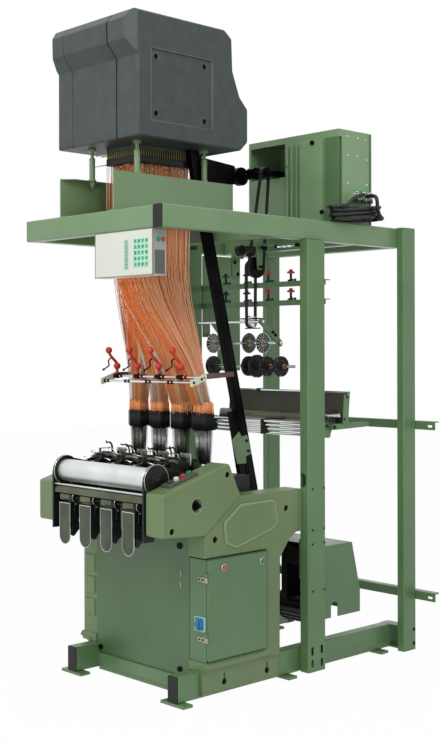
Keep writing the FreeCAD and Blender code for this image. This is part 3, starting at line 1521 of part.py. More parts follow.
def drive_motor():
    """The finned motor, the upright drive housing on it, and the bracket to the right post."""
    body = along_x(motor_y, motor_z, motor_radius - motor_fin_depth, motor_left_x + 16, motor_right_x - 24)
    caps = [along_x(motor_y, motor_z, motor_radius, motor_left_x, motor_left_x + 18),
            along_x(motor_y, motor_z, motor_radius - 6, motor_right_x - 26, motor_right_x)]
    fins = []
    for i in range(motor_fins):
        angle = 360.0 * i / motor_fins
        fin = block(motor_left_x + 17, motor_right_x - 25, motor_y - 1.6, motor_y + 1.6,
                    motor_z + motor_radius - motor_fin_depth - 3, motor_z + motor_radius - 1)
        fin.rotate(vec(0, motor_y, motor_z), vec(1, 0, 0), angle)
        fins.append(fin)
    housing_points = [(housing_front_y, motor_z + 20), (housing_front_y, housing_top_z - 20),
                      (housing_front_y + 20, housing_top_z), (housing_rear_y - 10, housing_top_z),
                      (housing_rear_y, housing_top_z - 20), (housing_rear_y, motor_z + 20)]
    housing = plate_x(housing_points, housing_left_x, housing_right_x, 8.0)
    plate = block(housing_right_x - 2, mid_post_x - mid_post_width / 2, mid_post_front_y + mid_post_depth - 10,
                  mid_post_front_y + mid_post_depth - 10 + motor_bracket_thickness,
                  motor_bracket_low_z, motor_bracket_high_z)
    foot = block(housing_right_x - 2, housing_right_x + motor_bracket_reach, mid_post_front_y + mid_post_depth - 10,
                 housing_front_y + 20, motor_bracket_low_z, motor_bracket_high_z)
    return fused([body] + caps + fins + [housing, plate, foot])


def motor_guard():
    """The folded sheet guard over the motor, open at the left and below."""
    x1 = guard_panel_x
    y0 = mid_post_front_y + mid_post_depth + seat_gap
    z1 = guard_panel_top_z
    outer = [(y0, guard_panel_bottom_z), (y0, z1), (guard_panel_top_y, z1), (guard_panel_rear_y, guard_panel_knee_z),
             (guard_panel_rear_y, guard_panel_bottom_z)]
    side = plate_x(outer, x1 - sheet, x1, [0, 0, 3, 6, 0])
    half = notch_width / 2
    notch = plate_x([(notch_y - half, guard_panel_bottom_z - 1), (notch_y + half, guard_panel_bottom_z - 1),
                     (notch_y + half, notch_top_z), (notch_y - half, notch_top_z)], x1 - sheet - 1, x1 + 1,
                    [0, 0, 20, 20])
    side = side.cut(notch)
    top = block(guard_panel_left_x, x1 - 1, y0, guard_panel_top_y - 2, z1 - sheet, z1)
    slope = [(guard_panel_top_y - 3, z1), (guard_panel_top_y, z1), (guard_panel_rear_y, guard_panel_knee_z),
             (guard_panel_rear_y, guard_panel_bottom_z), (guard_panel_rear_y - sheet, guard_panel_bottom_z),
             (guard_panel_rear_y - sheet, guard_panel_knee_z)]
    rear = plate_x(slope, guard_panel_left_x, x1 - 1)
    return fused([side, top, rear])


# ================================================================ feed drive
def pulley(y, z, radius, x, width, flange=3.0):
    """A flanged pulley round an X axis, centred at x."""
    body = along_x(y, z, radius, x - width / 2, x + width / 2)
    sides = [along_x(y, z, radius + flange, x - width / 2 - 2, x - width / 2),
             along_x(y, z, radius + flange, x + width / 2, x + width / 2 + 2)]
    return [body] + sides


def top_drive_shaft():
    y, z = top_shaft_y, top_shaft_z
    end = belt_x + pulley_width / 2 + 12
    shaft = along_x(y, z, top_shaft_radius, head_pulley_x - head_pulley_width / 2 - 12, end)
    wheel = along_x(y, z, head_pulley_radius, head_pulley_x - head_pulley_width / 2,
                    head_pulley_x + head_pulley_width / 2)
    return fused([shaft, wheel] + pulley(y, z, top_pulley_radius, belt_x, pulley_width))


def drive_bearing():
    """The bearing of the top shaft, on an arm that stands in the window of the rear cabinet."""
    x0, x1 = bearing_x - bearing_width / 2, bearing_x + bearing_width / 2
    y, z = top_shaft_y, top_shaft_z
    front, top, low = bearing_front, bearing_top, window_low_z + seat_gap
    points = [(y - front, z - front + 2), (y - front, z + front - 2), (y - 6, z + top), (y + top - 4, z + top - 4),
              (rear_box_rear_y - sheet, z + top - 4), (rear_box_rear_y - sheet, low),
              (y + bearing_neck, low), (y + front - 6, z - front)]
    body = plate_x(points, x0, x1, [8, 8, 6, 0, 0, 0, 0, 8])
    return body.cut(along_x(y, z, top_shaft_radius + running_gap, x0 - 1, x1 + 1))


def idler_pulley():
    y, z = idler_y, idler_z
    x0 = second_belt_x - pulley_width / 2 - 6
    x1 = belt_x + pulley_width / 2 + 26
    pieces = [along_x(y, z, feed_shaft_radius, x0, x1)]
    pieces.append(along_x(y, z, idler_radius, belt_x - pulley_width / 2 + 2, belt_x + pulley_width / 2 - 2))
    pieces.append(along_x(y, z, idler_radius + 3, belt_x - pulley_width / 2, belt_x - pulley_width / 2 + 2))
    pieces.append(along_x(y, z, idler_radius + 3, belt_x + pulley_width / 2 - 2, belt_x + pulley_width / 2))
    pieces.append(along_x(y, z, second_pulley_radius, second_belt_x - pulley_width / 2, second_belt_x + pulley_width / 2))
    return fused(pieces)


def feed_drive_shaft():
    y, z = idler_y, feed_drive_z
    x0 = -mid_post_x + mid_post_width / 2 + seat_gap
    x1 = feed_arm_x + feed_arm_thickness / 2 + 8
    shaft = along_x(y, z, feed_shaft_radius, x0, x1)
    return fused([shaft] + pulley(y, z, second_pulley_radius - 3, second_belt_x, pulley_width))


def slotted_disc(x, z, radius, slots):
    """A disc with radial slots, as a grooved feed wheel has."""
    disc = along_x(disc_y, z, radius, x - disc_thickness / 2, x + disc_thickness / 2)
    for i in range(slots):
        cut = block(x - disc_thickness, x + disc_thickness, disc_y - 2.2, disc_y + 2.2,
                    z + radius * 0.42, z + radius - 4)
        cut.rotate(vec(0, disc_y, z), vec(1, 0, 0), 360.0 * i / slots)
        disc = disc.cut(cut)
    hub = along_x(disc_y, z, radius * 0.28, x - disc_thickness, x + disc_thickness)
    return disc.fuse(hub)


def feed_shaft_upper():
    x0 = feed_plate_x - feed_plate_thickness + 1
    x1 = feed_arm_x + feed_arm_thickness / 2 + 8
    pieces = [along_x(disc_y, silver_shaft_z, feed_shaft_radius, x0, x1)]
    pieces += [slotted_disc(x, silver_shaft_z, silver_radius, disc_slots) for x in silver_disc_x]
    return fused(pieces)


def feed_shaft_lower():
    x0 = feed_plate_x - feed_plate_thickness + 1
    pieces = [along_x(disc_y, black_shaft_z, feed_shaft_radius, x0, shaft_end_x)]
    for x, radius in [(x, black_radius) for x in black_disc_x] + [(large_disc_x, large_disc_radius)]:
        pieces.append(along_x(disc_y, black_shaft_z, radius, x - disc_thickness, x + disc_thickness))
        pieces.append(along_x(disc_y, black_shaft_z, radius * 0.35, x - 14, x + 14))
    return fused(pieces)


def lobed_knob(x, y, z):
    """A square knob with round corners on a stem, standing on a bar whose top is at z."""
    top = z + knob_rise
    half = knob_width / 2
    head = plate_z(rectangle(x - half, x + half, y - half, y + half), top, top + knob_thickness, knob_corner)
    return [round_bar(vec(x, y, z), vec(0, 0, 1), knob_stem_radius, knob_rise), head]


def feed_frame():
    """The plate, bars and arm that carry the feed shafts behind the gantry's middle posts."""
    y0 = mid_post_front_y + mid_post_depth + seat_gap
    x0 = feed_plate_x - feed_plate_thickness
    plate_points = [(feed_plate_front_y, platform_z - 20), (feed_plate_rear_y, platform_z - 20),
                    (feed_plate_rear_y, feed_plate_low_z), (feed_plate_step_y, feed_plate_low_z),
                    (feed_plate_step_y, feed_plate_step_z), (feed_plate_front_y, feed_plate_knee_z)]
    plate = plate_x(plate_points, x0, feed_plate_x)
    half = feed_tab_height / 2
    tabs = [block(x0, feed_plate_x, y0, feed_plate_front_y + 1, z - 2, z + feed_tab_height)
            for z in (feed_bar_low_z, feed_bar_high_z)]
    tabs += [block(x0, feed_plate_x, disc_y - half, feed_plate_step_y + 1, z - half, z + half)
             for z in (silver_shaft_z, black_shaft_z)]
    plate = fused([plate] + tabs)
    lug = block(-mid_post_x - mid_post_width / 2 + 8, x0 + 2, y0, y0 + sheet * 2, feed_bar_low_z,
                feed_bar_high_z + feed_bar_leg)
    top_lug = block(x0, feed_plate_x + 30, cabinet_support_y - 40, feed_plate_rear_y, platform_z - 26, platform_z)
    for z in (silver_shaft_z, black_shaft_z):
        boss = along_x(disc_y, z, 18.0, x0, feed_plate_x + 6)
        plate = plate.fuse(boss)
        plate = plate.cut(along_x(disc_y, z, feed_shaft_radius + running_gap, x0 - 1, feed_plate_x + 7))
    pieces = [plate, lug, top_lug]
    right = mid_post_x + mid_post_width / 2
    leg = feed_bar_leg
    for z in (feed_bar_low_z, feed_bar_high_z):
        upright = block(feed_plate_x - 2, right, y0, y0 + tube_wall, z, z + leg)
        shelf = block(feed_plate_x - 2, right, y0, y0 + leg + 8, z + leg - tube_wall, z + leg)
        pieces.append(upright.fuse(shelf).removeSplitter())
        for x in head_positions():
            pieces += lobed_knob(x + 2, y0 + leg - 4, z + leg)
    down = vec(0, disc_y - idler_y, silver_shaft_z - feed_drive_z).normalize()
    aside = vec(0, -down.z, down.y)
    upper, lower = vec(0, idler_y, feed_drive_z), vec(0, disc_y, silver_shaft_z)
    reach, half = feed_arm_width * 0.6, feed_arm_width / 2
    arm_corners = [upper - down * reach - aside * half, lower + down * reach - aside * half,
                   lower + down * reach + aside * half, upper - down * reach + aside * half]
    middle_z = (feed_drive_z + silver_shaft_z) / 2
    hanger_points = [(y0 + 4, feed_bar_low_z + 4), (y0 + 4, middle_z), (y0 + feed_arm_width, middle_z),
                     (y0 + feed_arm_width, feed_bar_low_z + 4)]
    half = feed_arm_thickness / 2
    arm = plate_x([(p.y, p.z) for p in arm_corners], feed_arm_x - half, feed_arm_x + half, 10.0)
    arm = arm.fuse(plate_x(hanger_points, feed_arm_x - half, feed_arm_x + half))
    for y, z in ((idler_y, feed_drive_z), (disc_y, silver_shaft_z)):
        arm = arm.cut(along_x(y, z, feed_shaft_radius + running_gap, feed_arm_x - half - 1, feed_arm_x + half + 1))
    pieces.append(arm)
    hanger_x = belt_x + pulley_width / 2 + 8
    hanger = plate_x([(idler_y - 22, platform_z - 8), (idler_y - 14, idler_z - 14), (idler_y + 14, idler_z - 14),
                      (idler_y + 22, platform_z - 8)], hanger_x, hanger_x + 8, [0, 10, 10, 0])
    hanger = hanger.cut(along_x(idler_y, idler_z, feed_shaft_radius + running_gap, hanger_x - 1, hanger_x + 9))
    beam = block(hanger_x, mid_post_x - mid_post_width / 2 - seat_gap, idler_y - 22, idler_y + 22,
                 platform_z - 8, platform_z)
    pieces += [hanger, beam]
    return fused(pieces)


def belt_loop(y1, z1, r1, y2, z2, r2, x):
    """An open belt round two pulleys: outer loop less inner loop, both made of tangents and arcs."""
    def loop(extra):
        a, b = r1 + extra, r2 + extra
        way = vec(0, y2 - y1, z2 - z1)
        length = way.Length
        lean = math.asin((a - b) / length)
        base = math.atan2(way.z, way.y)
        ends = []
        for sign in (1, -1):
            angle = base + sign * (math.pi / 2 - lean)
            ends.append((vec(x, y1 + a * math.cos(angle), z1 + a * math.sin(angle)),
                         vec(x, y2 + b * math.cos(angle), z2 + b * math.sin(angle))))
        back = base + math.pi
        far_1 = vec(x, y1 + a * math.cos(back), z1 + a * math.sin(back))
        far_2 = vec(x, y2 + b * math.cos(base), z2 + b * math.sin(base))
        edges = [Part.LineSegment(ends[0][0], ends[0][1]).toShape(), Part.Arc(ends[0][1], far_2, ends[1][1]).toShape(),
                 Part.LineSegment(ends[1][1], ends[1][0]).toShape(), Part.Arc(ends[1][0], far_1, ends[0][0]).toShape()]
        return Part.Face(Part.Wire(edges)).extrude(vec(belt_width, 0, 0))
    return loop(seat_gap + belt_thickness).cut(loop(seat_gap))


def drive_belts():
    first = belt_loop(top_shaft_y, top_shaft_z, top_pulley_radius, idler_y, idler_z, idler_radius,
                      belt_x - belt_width / 2)
    second = belt_loop(idler_y, idler_z, second_pulley_radius, idler_y, feed_drive_z, second_pulley_radius - 3,
                       second_belt_x - belt_width / 2)
    return group([first, second])


# ================================================================ warp tray
def leaning(points):
    """Moves an outline's points back in proportion to their height, as the warp tray leans."""
    return [(y + tray_lean * (z - tray_end_low_z), z) for y, z in points]


def warp_tray():
    """The leaning box of the warp tray between two end plates, standing on the rest beam."""
    y0, y1 = tray_front_y, tray_front_y + tray_depth
    outer = leaning(rectangle(y0 + 4, y1 - 4, tray_bottom_z, tray_top_z - 4))
    box = plate_x(outer, tray_left_x, tray_right_x).cut(plate_x(shrunk(outer, sheet), tray_left_x, tray_right_x))
    end_points = leaning(rectangle(y0, y1, tray_end_low_z, tray_top_z))
    ends = [plate_x(end_points, x, x + side * tray_end_thickness, 4.0)
            for x, side in ((tray_left_x, -1), (tray_right_x, 1))]
    rod_y = leaning([(y0 + 4, tray_top_z - 10)])[0][0]
    rod = along_x(rod_y, tray_top_z - 10, tray_rod_radius, tray_left_x, tray_right_x)
    beam = along_x(rest_beam_y, rest_beam_z, rest_beam_radius, -side_plate_x, side_plate_x)
    return [box, rod, beam] + ends


def warp_side_plate(side):
    """A plate on the back of a middle post that carries the rest rods and the rest beam."""
    y0 = mid_post_front_y + mid_post_depth
    x = side * side_plate_x
    points = [(y0, side_plate_high_z), (y0, side_plate_low_z), (y0 + 78, side_plate_low_z),
              (y0 + 92, lever_pivot_z - 16), (rest_beam_y, lever_pivot_z - 10),
              (rest_beam_y + rest_beam_radius, rest_beam_z - 14), (rest_beam_y + 14, rest_beam_z + 22),
              (rest_beam_y - 14, rest_beam_z + 22), (rest_beam_y - 22, side_plate_high_z - 6),
              (side_plate_reach, side_plate_high_z)]
    pieces = [plate_x(points, x, x + side * side_plate_thickness)]
    pieces.append(block(min(x, x + side * 40), max(x, x + side * 40), y0, y0 + 6, side_plate_low_z, side_plate_high_z))
    if side > 0:
        boss_end = warp_lever_x - seat_gap
        pieces.append(along_x(lever_pivot_y, lever_pivot_z, 14.0, x, boss_end))
        pieces.append(along_x(lever_pivot_y, lever_pivot_z, 8.0, boss_end - 1, boss_end + warp_lever_thickness + 8))
    return pieces


def backrest_rods():
    rods = []
    for i in range(rest_rod_count):
        z = rest_rod_high_z - rest_rod_pitch * i
        y = rest_rod_y + 6 * i
        rods.append(along_x(y, z, rest_rod_radius, -side_plate_x, side_plate_x))
    return group(rods)


def warp_lever():
    """The hand lever of the warp rest, with a grip at its end."""
    y, z = lever_pivot_y, lever_pivot_z
    x0, x1 = warp_lever_x, warp_lever_x + warp_lever_thickness
    length = warp_lever_length
    half = warp_lever_width / 2
    points = [(y - half - 2, z - half), (y - half - 2, z + half), (y + length, z + half + 2),
              (y + length, z - half + 6)]
    arm = plate_x(points, x0, x1, [10, 10, 3, 3])
    tip = round_bar(vec((x0 + x1) / 2, y + length - 8, z + 4), vec(0, 1, 0), 9.0, 24)
    ball = Part.makeSphere(9.0, vec((x0 + x1) / 2, y + length + 16, z + 4))
    bore = along_x(y, z, 8.0 + running_gap, x0 - 1, x1 + 1)
    return fused([arm, tip, ball]).cut(bore)


# ================================================================ rear cabinet and cable
def socket_places():
    """Where along Y the three cable plugs sit."""
    middle = (socket_low_y + socket_high_y) / 2
    return [middle - socket_pitch, middle, middle + socket_pitch]


def rear_cabinet():
    """The cabinet on the platform: a sheet box with a window, a stepped front and cable sockets."""
    x0, x1 = rear_box_left_x, rear_box_right_x
    y0, y1 = rear_box_front_y, rear_box_rear_y
    z0, z1 = rail_top, rear_box_top_z
    outer = block(x0, x1, y0, y1, z0, z1)
    band = 36.0
    outer = outer.cut(block(step_x, x1 + 1, y0 - 1, y0 + step_depth, z0 - 1, z1 - band))
    inner = block(x0 + sheet, x1 - sheet, y0 + sheet, y1 - sheet, z0 + sheet, z1 - sheet)
    inner = inner.cut(block(step_x - sheet, x1 + 1, y0 - 1, y0 + step_depth + sheet, z0 - 1, z1 - band + sheet))
    body = outer.cut(inner)
    body = body.cut(block(window_left_x, window_right_x, y0 - 1, y0 + sheet + 1, window_low_z, window_high_z))
    groove = 5.0
    ribs = []
    for x in (window_right_x + 18, window_right_x + 48, window_right_x + 84):
        ribs.append(block(x, x + 12, y0 - groove, y0 + 1, z0 + 6, z1 - band - 6))
    ribs.append(block(groove_x, step_x - 4, y0 - groove, y0 + 1, z0 + 6, z1 - band - 6))
    socket = plate_x(rectangle(socket_low_y, socket_high_y, socket_low_z, socket_high_z), x1 - 1, x1 + socket_reach, 6.0)
    z = (socket_low_z + socket_high_z) / 2
    plugs = [round_bar(vec(x1, y, z), vec(1, 0, 0), plug_radius, socket_reach + plug_reach) for y in socket_places()]
    return fused([body] + ribs + [socket] + plugs)


def biarc(p0, t0, p1, t1):
    """Two tangent arcs from p0 to p1 that leave along t0 and arrive along t1."""
    v = p1 - p0
    t = t0 + t1
    k = 4 - t.dot(t)
    if k > 1e-6:
        d = (-v.dot(t) + math.sqrt(v.dot(t) ** 2 + k * v.dot(v))) / k
    else:
        d = v.dot(v) / (2 * v.dot(t))
    joint = (p0 + t0 * d + p1 - t1 * d) * 0.5
    edges = []
    for a, b, start, sign in ((p0, joint, t0, 1), (p1, joint, t1, -1)):
        chord = (b - a)
        way = start * sign
        angle = way.getAngle(chord)
        if angle < 1e-4:
            edges.append(Part.LineSegment(a, b).toShape() if sign > 0 else Part.LineSegment(b, a).toShape())
            continue
        unit = vec(chord.x, chord.y, chord.z).normalize()
        side = (way - unit * way.dot(unit)).normalize()
        middle = (a + b) * 0.5 + side * (chord.Length / 2 * math.tan(angle / 2))
        edges.append(Part.Arc(a, middle, b).toShape() if sign > 0 else Part.Arc(b, middle, a).toShape())
    return edges


def hank_route():
    """Places and directions along the cable: a plug, the loops from the top one down, a plug."""
    r = hank_end_radius
    x_in = rear_box_right_x + cable_radius + hank_clearance
    x_mid, x_out = x_in + r, x_in + 2 * r
    y_front, y_rear = hank_front_y + cable_radius + r, hank_rear_y - cable_radius - r
    lowest = rail_top + cable_radius + seat_gap
    loops = []
    for i in range(hank_loops):
        a = lowest + hank_step * (hank_loops - 1 - i)
        b = a - hank_step / 2
        loops += [(vec(x_out, y_front, a), vec(0, -1, 0)), (vec(x_mid, y_front - r, a), vec(-1, 0, 0)),
                  (vec(x_in, y_front, a), vec(0, 1, 0)), (vec(x_in, y_rear, b), vec(0, 1, 0)),
                  (vec(x_mid, y_rear + r, b), vec(1, 0, 0)), (vec(x_out, y_rear, b), vec(0, -1, 0))]
    tilt = FreeCAD.Rotation(vec(1, 0, 0), hank_tilt)
    pivot = vec(x_mid, y_front - r, lowest)
    loops = [(tilt.multVec(p - pivot) + pivot, tilt.multVec(t)) for p, t in loops[:-1]]
    plug_x = rear_box_right_x + socket_reach + plug_reach
    plug_z = (socket_low_z + socket_high_z) / 2
    first = vec(plug_x, socket_places()[0], plug_z)
    last = vec(plug_x, socket_places()[1], plug_z)
    rear = loops[-1][0]
    lead = [(first, vec(1, 0, 0)),
            (vec(x_out + 2, first.y - r - 12, plug_z - 4), vec(0, -1, -0.15).normalize())]
    tail = [(vec(x_out + 27, rear.y - 58, rear.z + 3), vec(0, -1, 0.3).normalize()),
            (vec(x_out + 27, last.y - 5, last.z - 46), vec(0, -0.1, 1).normalize()),
            (last, vec(-1, 0, 0))]
    return lead + loops + tail


def cable_path():
    route = hank_route()
    edges = []
    for (p0, t0), (p1, t1) in zip(route[:-1], route[1:]):
        edges += biarc(p0, t0, p1, t1)
    return Part.Wire(edges)


def cable_tube():
    path = cable_path()
    first = path.Edges[0]
    start = first.valueAt(first.FirstParameter)
    way = first.tangentAt(first.FirstParameter)
    circle = Part.Wire(Part.Circle(start, way, cable_radius).toShape())
    tube = path.makePipeShell([circle], True, False)
    samples = []
    for edge in path.Edges:
        steps = max(2, int(edge.Length / 6))
        samples += edge.discretize(Number=steps)[:-1]
    spots = []
    length = 0.0
    for i, p in enumerate(samples):
        if i:
            length += p.distanceToPoint(samples[i - 1])
        spots.append((length, p))
    least = min(a[1].distanceToPoint(b[1]) for i, a in enumerate(spots) for b in spots[i + 1:]
                if b[0] - a[0] > 6 * cable_radius) - 2 * cable_radius
    radii = [e.Curve.Radius for e in path.Edges if hasattr(e.Curve, "Radius")]
    print("cable: length %.0f, smallest radius %.1f, least gap to itself %.2f, volume ratio %.4f"
          % (path.Length, min(radii), least, tube.Volume / (math.pi * cable_radius ** 2 * path.Length)))
    return tube


# ================================================================ control box
def control_box():
    """The operating box below the front beam, with a raised keypad field and two button wells."""
    z1 = platform_z - seat_gap
    x0, x1 = box_left_x, box_right_x
    y0, y1 = box_front_y, box_front_y + box_depth
    body = plate_y(rectangle(x0, x1, z1 - box_height, z1), y0, y1, 5.0)
    field = plate_y(rectangle(x1 - 128, x1 - 26, z1 - 160, z1 - 36), y0 - 1.2, y0 + 1, 2.0)
    bars = plate_y(rectangle(x1 - 190, x1 - 156, z1 - 166, z1 - 40), y0 - 1.2, y0 + 1, 2.0)
    body = fused([body, field, bars])
    for y in (green_button_y, red_button_y):
        well = round_bar(vec(x1 - button_well, y, box_button_z), vec(1, 0, 0), box_button_radius + seat_gap, button_well + 1)
        body = body.cut(well)
    return body


def box_button(y):
    button = push_button(box_button_radius, 9.0, button_well, button_stroke)
    button.rotate(vec(0, 0, 0), vec(0, 1, 0), 90)
    button.translate(vec(box_right_x, y, box_button_z))
    return button


# ================================================================ all pieces
nodes = {
    "floor_beams": group([floor_beam(-beam_offset), floor_beam(beam_offset)]),
    "end_caps": end_caps(),
    "floor_feet": floor_feet(),
    "floor_cross_members": floor_cross_members(),
    "mid_post_right": mid_post(1),
    "mid_post_left": mid_post(-1),
    "rear_posts": group([rear_post(rear_post_right_x), rear_post(rear_post_left_x)]),
    "platform_rails": platform_rails(),
    "platform_cross_members": platform_cross_members(),
    "rear_cross_bars": rear_cross_bars(),
    "side_casting_right": side_casting(1),
    "side_casting_left": side_casting_left(),
    "front_cover_right": front_cover(1),
    "front_cover_left": front_cover(-1),
    "control_strip": control_strip(),
    "strip_button_dark": strip_button(0),
    "strip_button_white": strip_button(1),
    "strip_button_red": strip_button(2),
    "strip_button_green": strip_button(3),
    "front_panel": front_panel(),
    "electrical_cabinet": electrical_cabinet(),
    "cabinet_door": cabinet_door(),
    "main_switch": main_switch(),
    "door_lamps": door_lamps(),
    "machine_bed": machine_bed(),
    "weaving_heads": weaving_heads(),
    "reed_batten": reed_batten(),
    "needle_arms": needle_arms(),
    "takeup_brackets": takeup_brackets(),
    "takeup_roller": takeup_roller(),
    "cloth_rollers": cloth_rollers(),
    "ribbon_chutes": ribbon_chutes(),
    "guide_rods": guide_rods(),
    "head_channels": head_channels(),
    "head_legs": head_legs(),
    "jacquard_cover": jacquard_cover(),
    "hook_box": hook_box(),
    "harness_cords": harness_cords(),
    "heddle_bundles": heddle_bundles(),
    "harness_rods": harness_rods(),
    "tension_levers": tension_levers(),
    "belt_guard": belt_guard(),
    "drive_motor": drive_motor(),
    "motor_guard": motor_guard(),
    "top_drive_shaft": top_drive_shaft(),
    "drive_bearing": drive_bearing(),
    "idler_pulley": idler_pulley(),
    "feed_drive_shaft": feed_drive_shaft(),
    "feed_shaft_upper": feed_shaft_upper(),
    "feed_shaft_lower": feed_shaft_lower(),
    "feed_frame": feed_frame(),
    "drive_belts": drive_belts(),
    "warp_tray": fused(warp_tray() + warp_side_plate(-1) + warp_side_plate(1)),
    "backrest_rods": backrest_rods(),
    "warp_lever": warp_lever(),
    "rear_cabinet": rear_cabinet(),
    "cable_hank": cable_tube(),
    "control_box": control_box(),
    "box_button_green": box_button(green_button_y),
    "box_button_red": box_button(red_button_y),
}

origin_y = (front_foot_y + rear_foot_y) / 2
os.makedirs("parts", exist_ok=True)
for name, shape in nodes.items():
    placed = shape.copy()
    placed.translate(vec(0, -origin_y, 0))
    placed.exportStep("parts/" + name + ".step")
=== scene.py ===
"""Looks of an electronic jacquard loom for narrow fabrics, round its frame of solids.

Sizes are millimetres in the loom's own axes, as in the part's source: X to the right, Y to the
back from the front ends of the floor beams, Z up from the floor. The last step of each piece
turns them to metres in the part's frame.
"""

import math

import bpy
import numpy as np
from mathutils import Matrix, Vector


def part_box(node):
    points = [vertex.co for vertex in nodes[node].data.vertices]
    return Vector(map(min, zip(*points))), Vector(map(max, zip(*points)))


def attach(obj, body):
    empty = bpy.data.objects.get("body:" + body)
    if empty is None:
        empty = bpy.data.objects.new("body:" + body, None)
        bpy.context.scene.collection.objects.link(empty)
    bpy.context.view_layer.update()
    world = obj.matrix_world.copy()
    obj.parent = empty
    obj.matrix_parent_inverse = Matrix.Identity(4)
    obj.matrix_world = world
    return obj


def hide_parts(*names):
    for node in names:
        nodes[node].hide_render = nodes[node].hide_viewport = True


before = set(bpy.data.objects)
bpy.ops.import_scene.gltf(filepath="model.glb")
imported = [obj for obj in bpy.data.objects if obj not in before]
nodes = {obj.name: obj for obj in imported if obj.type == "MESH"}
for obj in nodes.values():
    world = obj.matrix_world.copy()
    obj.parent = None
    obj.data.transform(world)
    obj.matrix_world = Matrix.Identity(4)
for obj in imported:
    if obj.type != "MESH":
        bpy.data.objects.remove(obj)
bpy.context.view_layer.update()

MM = 0.001
BEAM_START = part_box("floor_beams")[0].y     # where the loom's own Y = 0 lies in the part's frame
ORIGIN = np.array([0.0, BEAM_START, 0.0])


def place(points):
    """Points in the loom's millimetres, in metres in the part's frame."""
    return np.asarray(points, float) * MM + ORIGIN


# ---- camera
CAMERA_AT = Vector((4.1372, -3.9779, 1.4985))
CAMERA_TURN = 0.812908      # radians left of straight back
CAMERA_ROLL = -0.00194
IMAGE_HEIGHT = 743          # rows of the photograph, in which the next two are given
FOCAL_PIXELS = 1196.3
HORIZON_ROW = 349.0
SENSOR_MM = 36.0


def make_camera():
    """The photograph's view: a level camera, 1.5 m above the floor, off the right front corner."""
    data = bpy.data.cameras.new("camera")
    data.sensor_fit = "VERTICAL"
    data.sensor_height = SENSOR_MM
    data.lens = FOCAL_PIXELS * SENSOR_MM / IMAGE_HEIGHT
    data.shift_y = (HORIZON_ROW - IMAGE_HEIGHT / 2) / IMAGE_HEIGHT
    data.clip_end = 60.0
    camera = bpy.data.objects.new("camera", data)
    forward = Vector((-math.sin(CAMERA_TURN), math.cos(CAMERA_TURN), 0.0))
    turn = forward.to_track_quat("-Z", "Y").to_matrix() @ Matrix.Rotation(CAMERA_ROLL, 3, "Z")
    camera.matrix_world = Matrix.Translation(CAMERA_AT) @ turn.to_4x4()
    bpy.context.scene.collection.objects.link(camera)
    bpy.context.scene.camera = camera


# ---- sizes shared with the solids
HEAD_X = [-243.0, -93.0, 57.0, 207.0]       # middles of the four weaving heads
RAIL_TOP = 2097.0                           # top of the platform
CABINET_SIDE_X = 385.0                      # right side of the rear cabinet
HOOKS = (-195.0, 0.0, 100.0, 420.0)         # rectangle of cords below the hooks: X, X, Y, Y
HOOKS_Z = 2338.0
GUIDE = (-210.0, 15.0, 115.0, 405.0)        # the same where they begin to part
GUIDE_Z = 1810.0
GATHER_Z = 1385.0                           # where they pass the rods
GATHER_SHIFT = (-25.0, -26.0)               # of the rightmost bundle there, against its place below
BUNDLE_Y = 310.0
BUNDLE_WIDTH, BUNDLE_DEPTH = 80.0, 56.0
BUNDLE_TOP_Z = 1215.0
BAND_LOW_Z = 1138.7
HEDDLE_LOW_Z = 985.0
LEVER_ROD_Y, LEVER_ROD_Z = 200.0, 1374.0
LOWER_ROD_Y, LOWER_ROD_Z = 138.0, 1353.0
ROD_LEFT_X, ROD_RIGHT_X = -291.0, 325.0


# ---- mesh makers
def skin(rings, caps=True, loop=False):
    """A skin over rings of points: point (i, j) of the grid joins (i + 1, j) and (i, j + 1), each
    ring closed on itself. The first and the last ring get a flat cap, or join each other."""
    rings = np.asarray(rings, float)
    rows, columns = rings.shape[:2]
    i = np.arange(rows if loop else rows - 1)[:, None]
    j = np.arange(columns)[None, :]
    k, n = (j + 1) % columns, (i + 1) % rows
    quads = np.stack([i * columns + j, i * columns + k, n * columns + k, n * columns + j], -1).reshape(-1, 4)
    caps = caps and not loop
    faces = [quads]
    if caps:
        ends = np.arange(columns)
        faces.append(np.stack([ends[::-1], ends + (rows - 1) * columns]))
    points = rings.reshape(-1, 3)
    a, b, c, d = (points[quads[:, n]] for n in range(4))
    volume = np.einsum("ij,ij->", a, np.cross(b, c)) + np.einsum("ij,ij->", a, np.cross(c, d))
    if caps:
        for ring in faces[1]:
            fan = points[ring]
            volume += np.einsum("ij,ij->", np.broadcast_to(fan[0], fan[1:-1].shape),
                                np.cross(fan[1:-1], fan[2:]))
    if volume < 0:
        faces = [f[:, ::-1] for f in faces]
    return points, faces


def full_turn(steps):
    """The angles of equal steps round a full turn."""
    return np.linspace(0, 2 * math.pi, steps, endpoint=False)


def across(way):
    """Two unit vectors square to a direction and to each other."""
    way = np.asarray(way, float) / np.linalg.norm(way)
    helper = np.array([0.0, 0.0, 1.0]) if abs(way[2]) < 0.9 else np.array([1.0, 0.0, 0.0])
    side = np.cross(way, helper)
    side /= np.linalg.norm(side)
    return side, np.cross(way, side)


def turned(start, way, profile, sides=24, phase=0.0):
    """A turned piece: each (distance, radius) of the profile is a circle round the axis, at
    start + distance * way, with points at radius * (cos a, sin a) for equal steps of a."""
    way = np.asarray(way, float) / np.linalg.norm(way)
    side, up = across(way)
    angle = phase + full_turn(sides)
    circle = np.cos(angle)[:, None] * side + np.sin(angle)[:, None] * up
    distance, radius = np.array(profile, float).T[:, :, None, None]
    return skin(np.asarray(start, float) + distance * way + radius * circle)


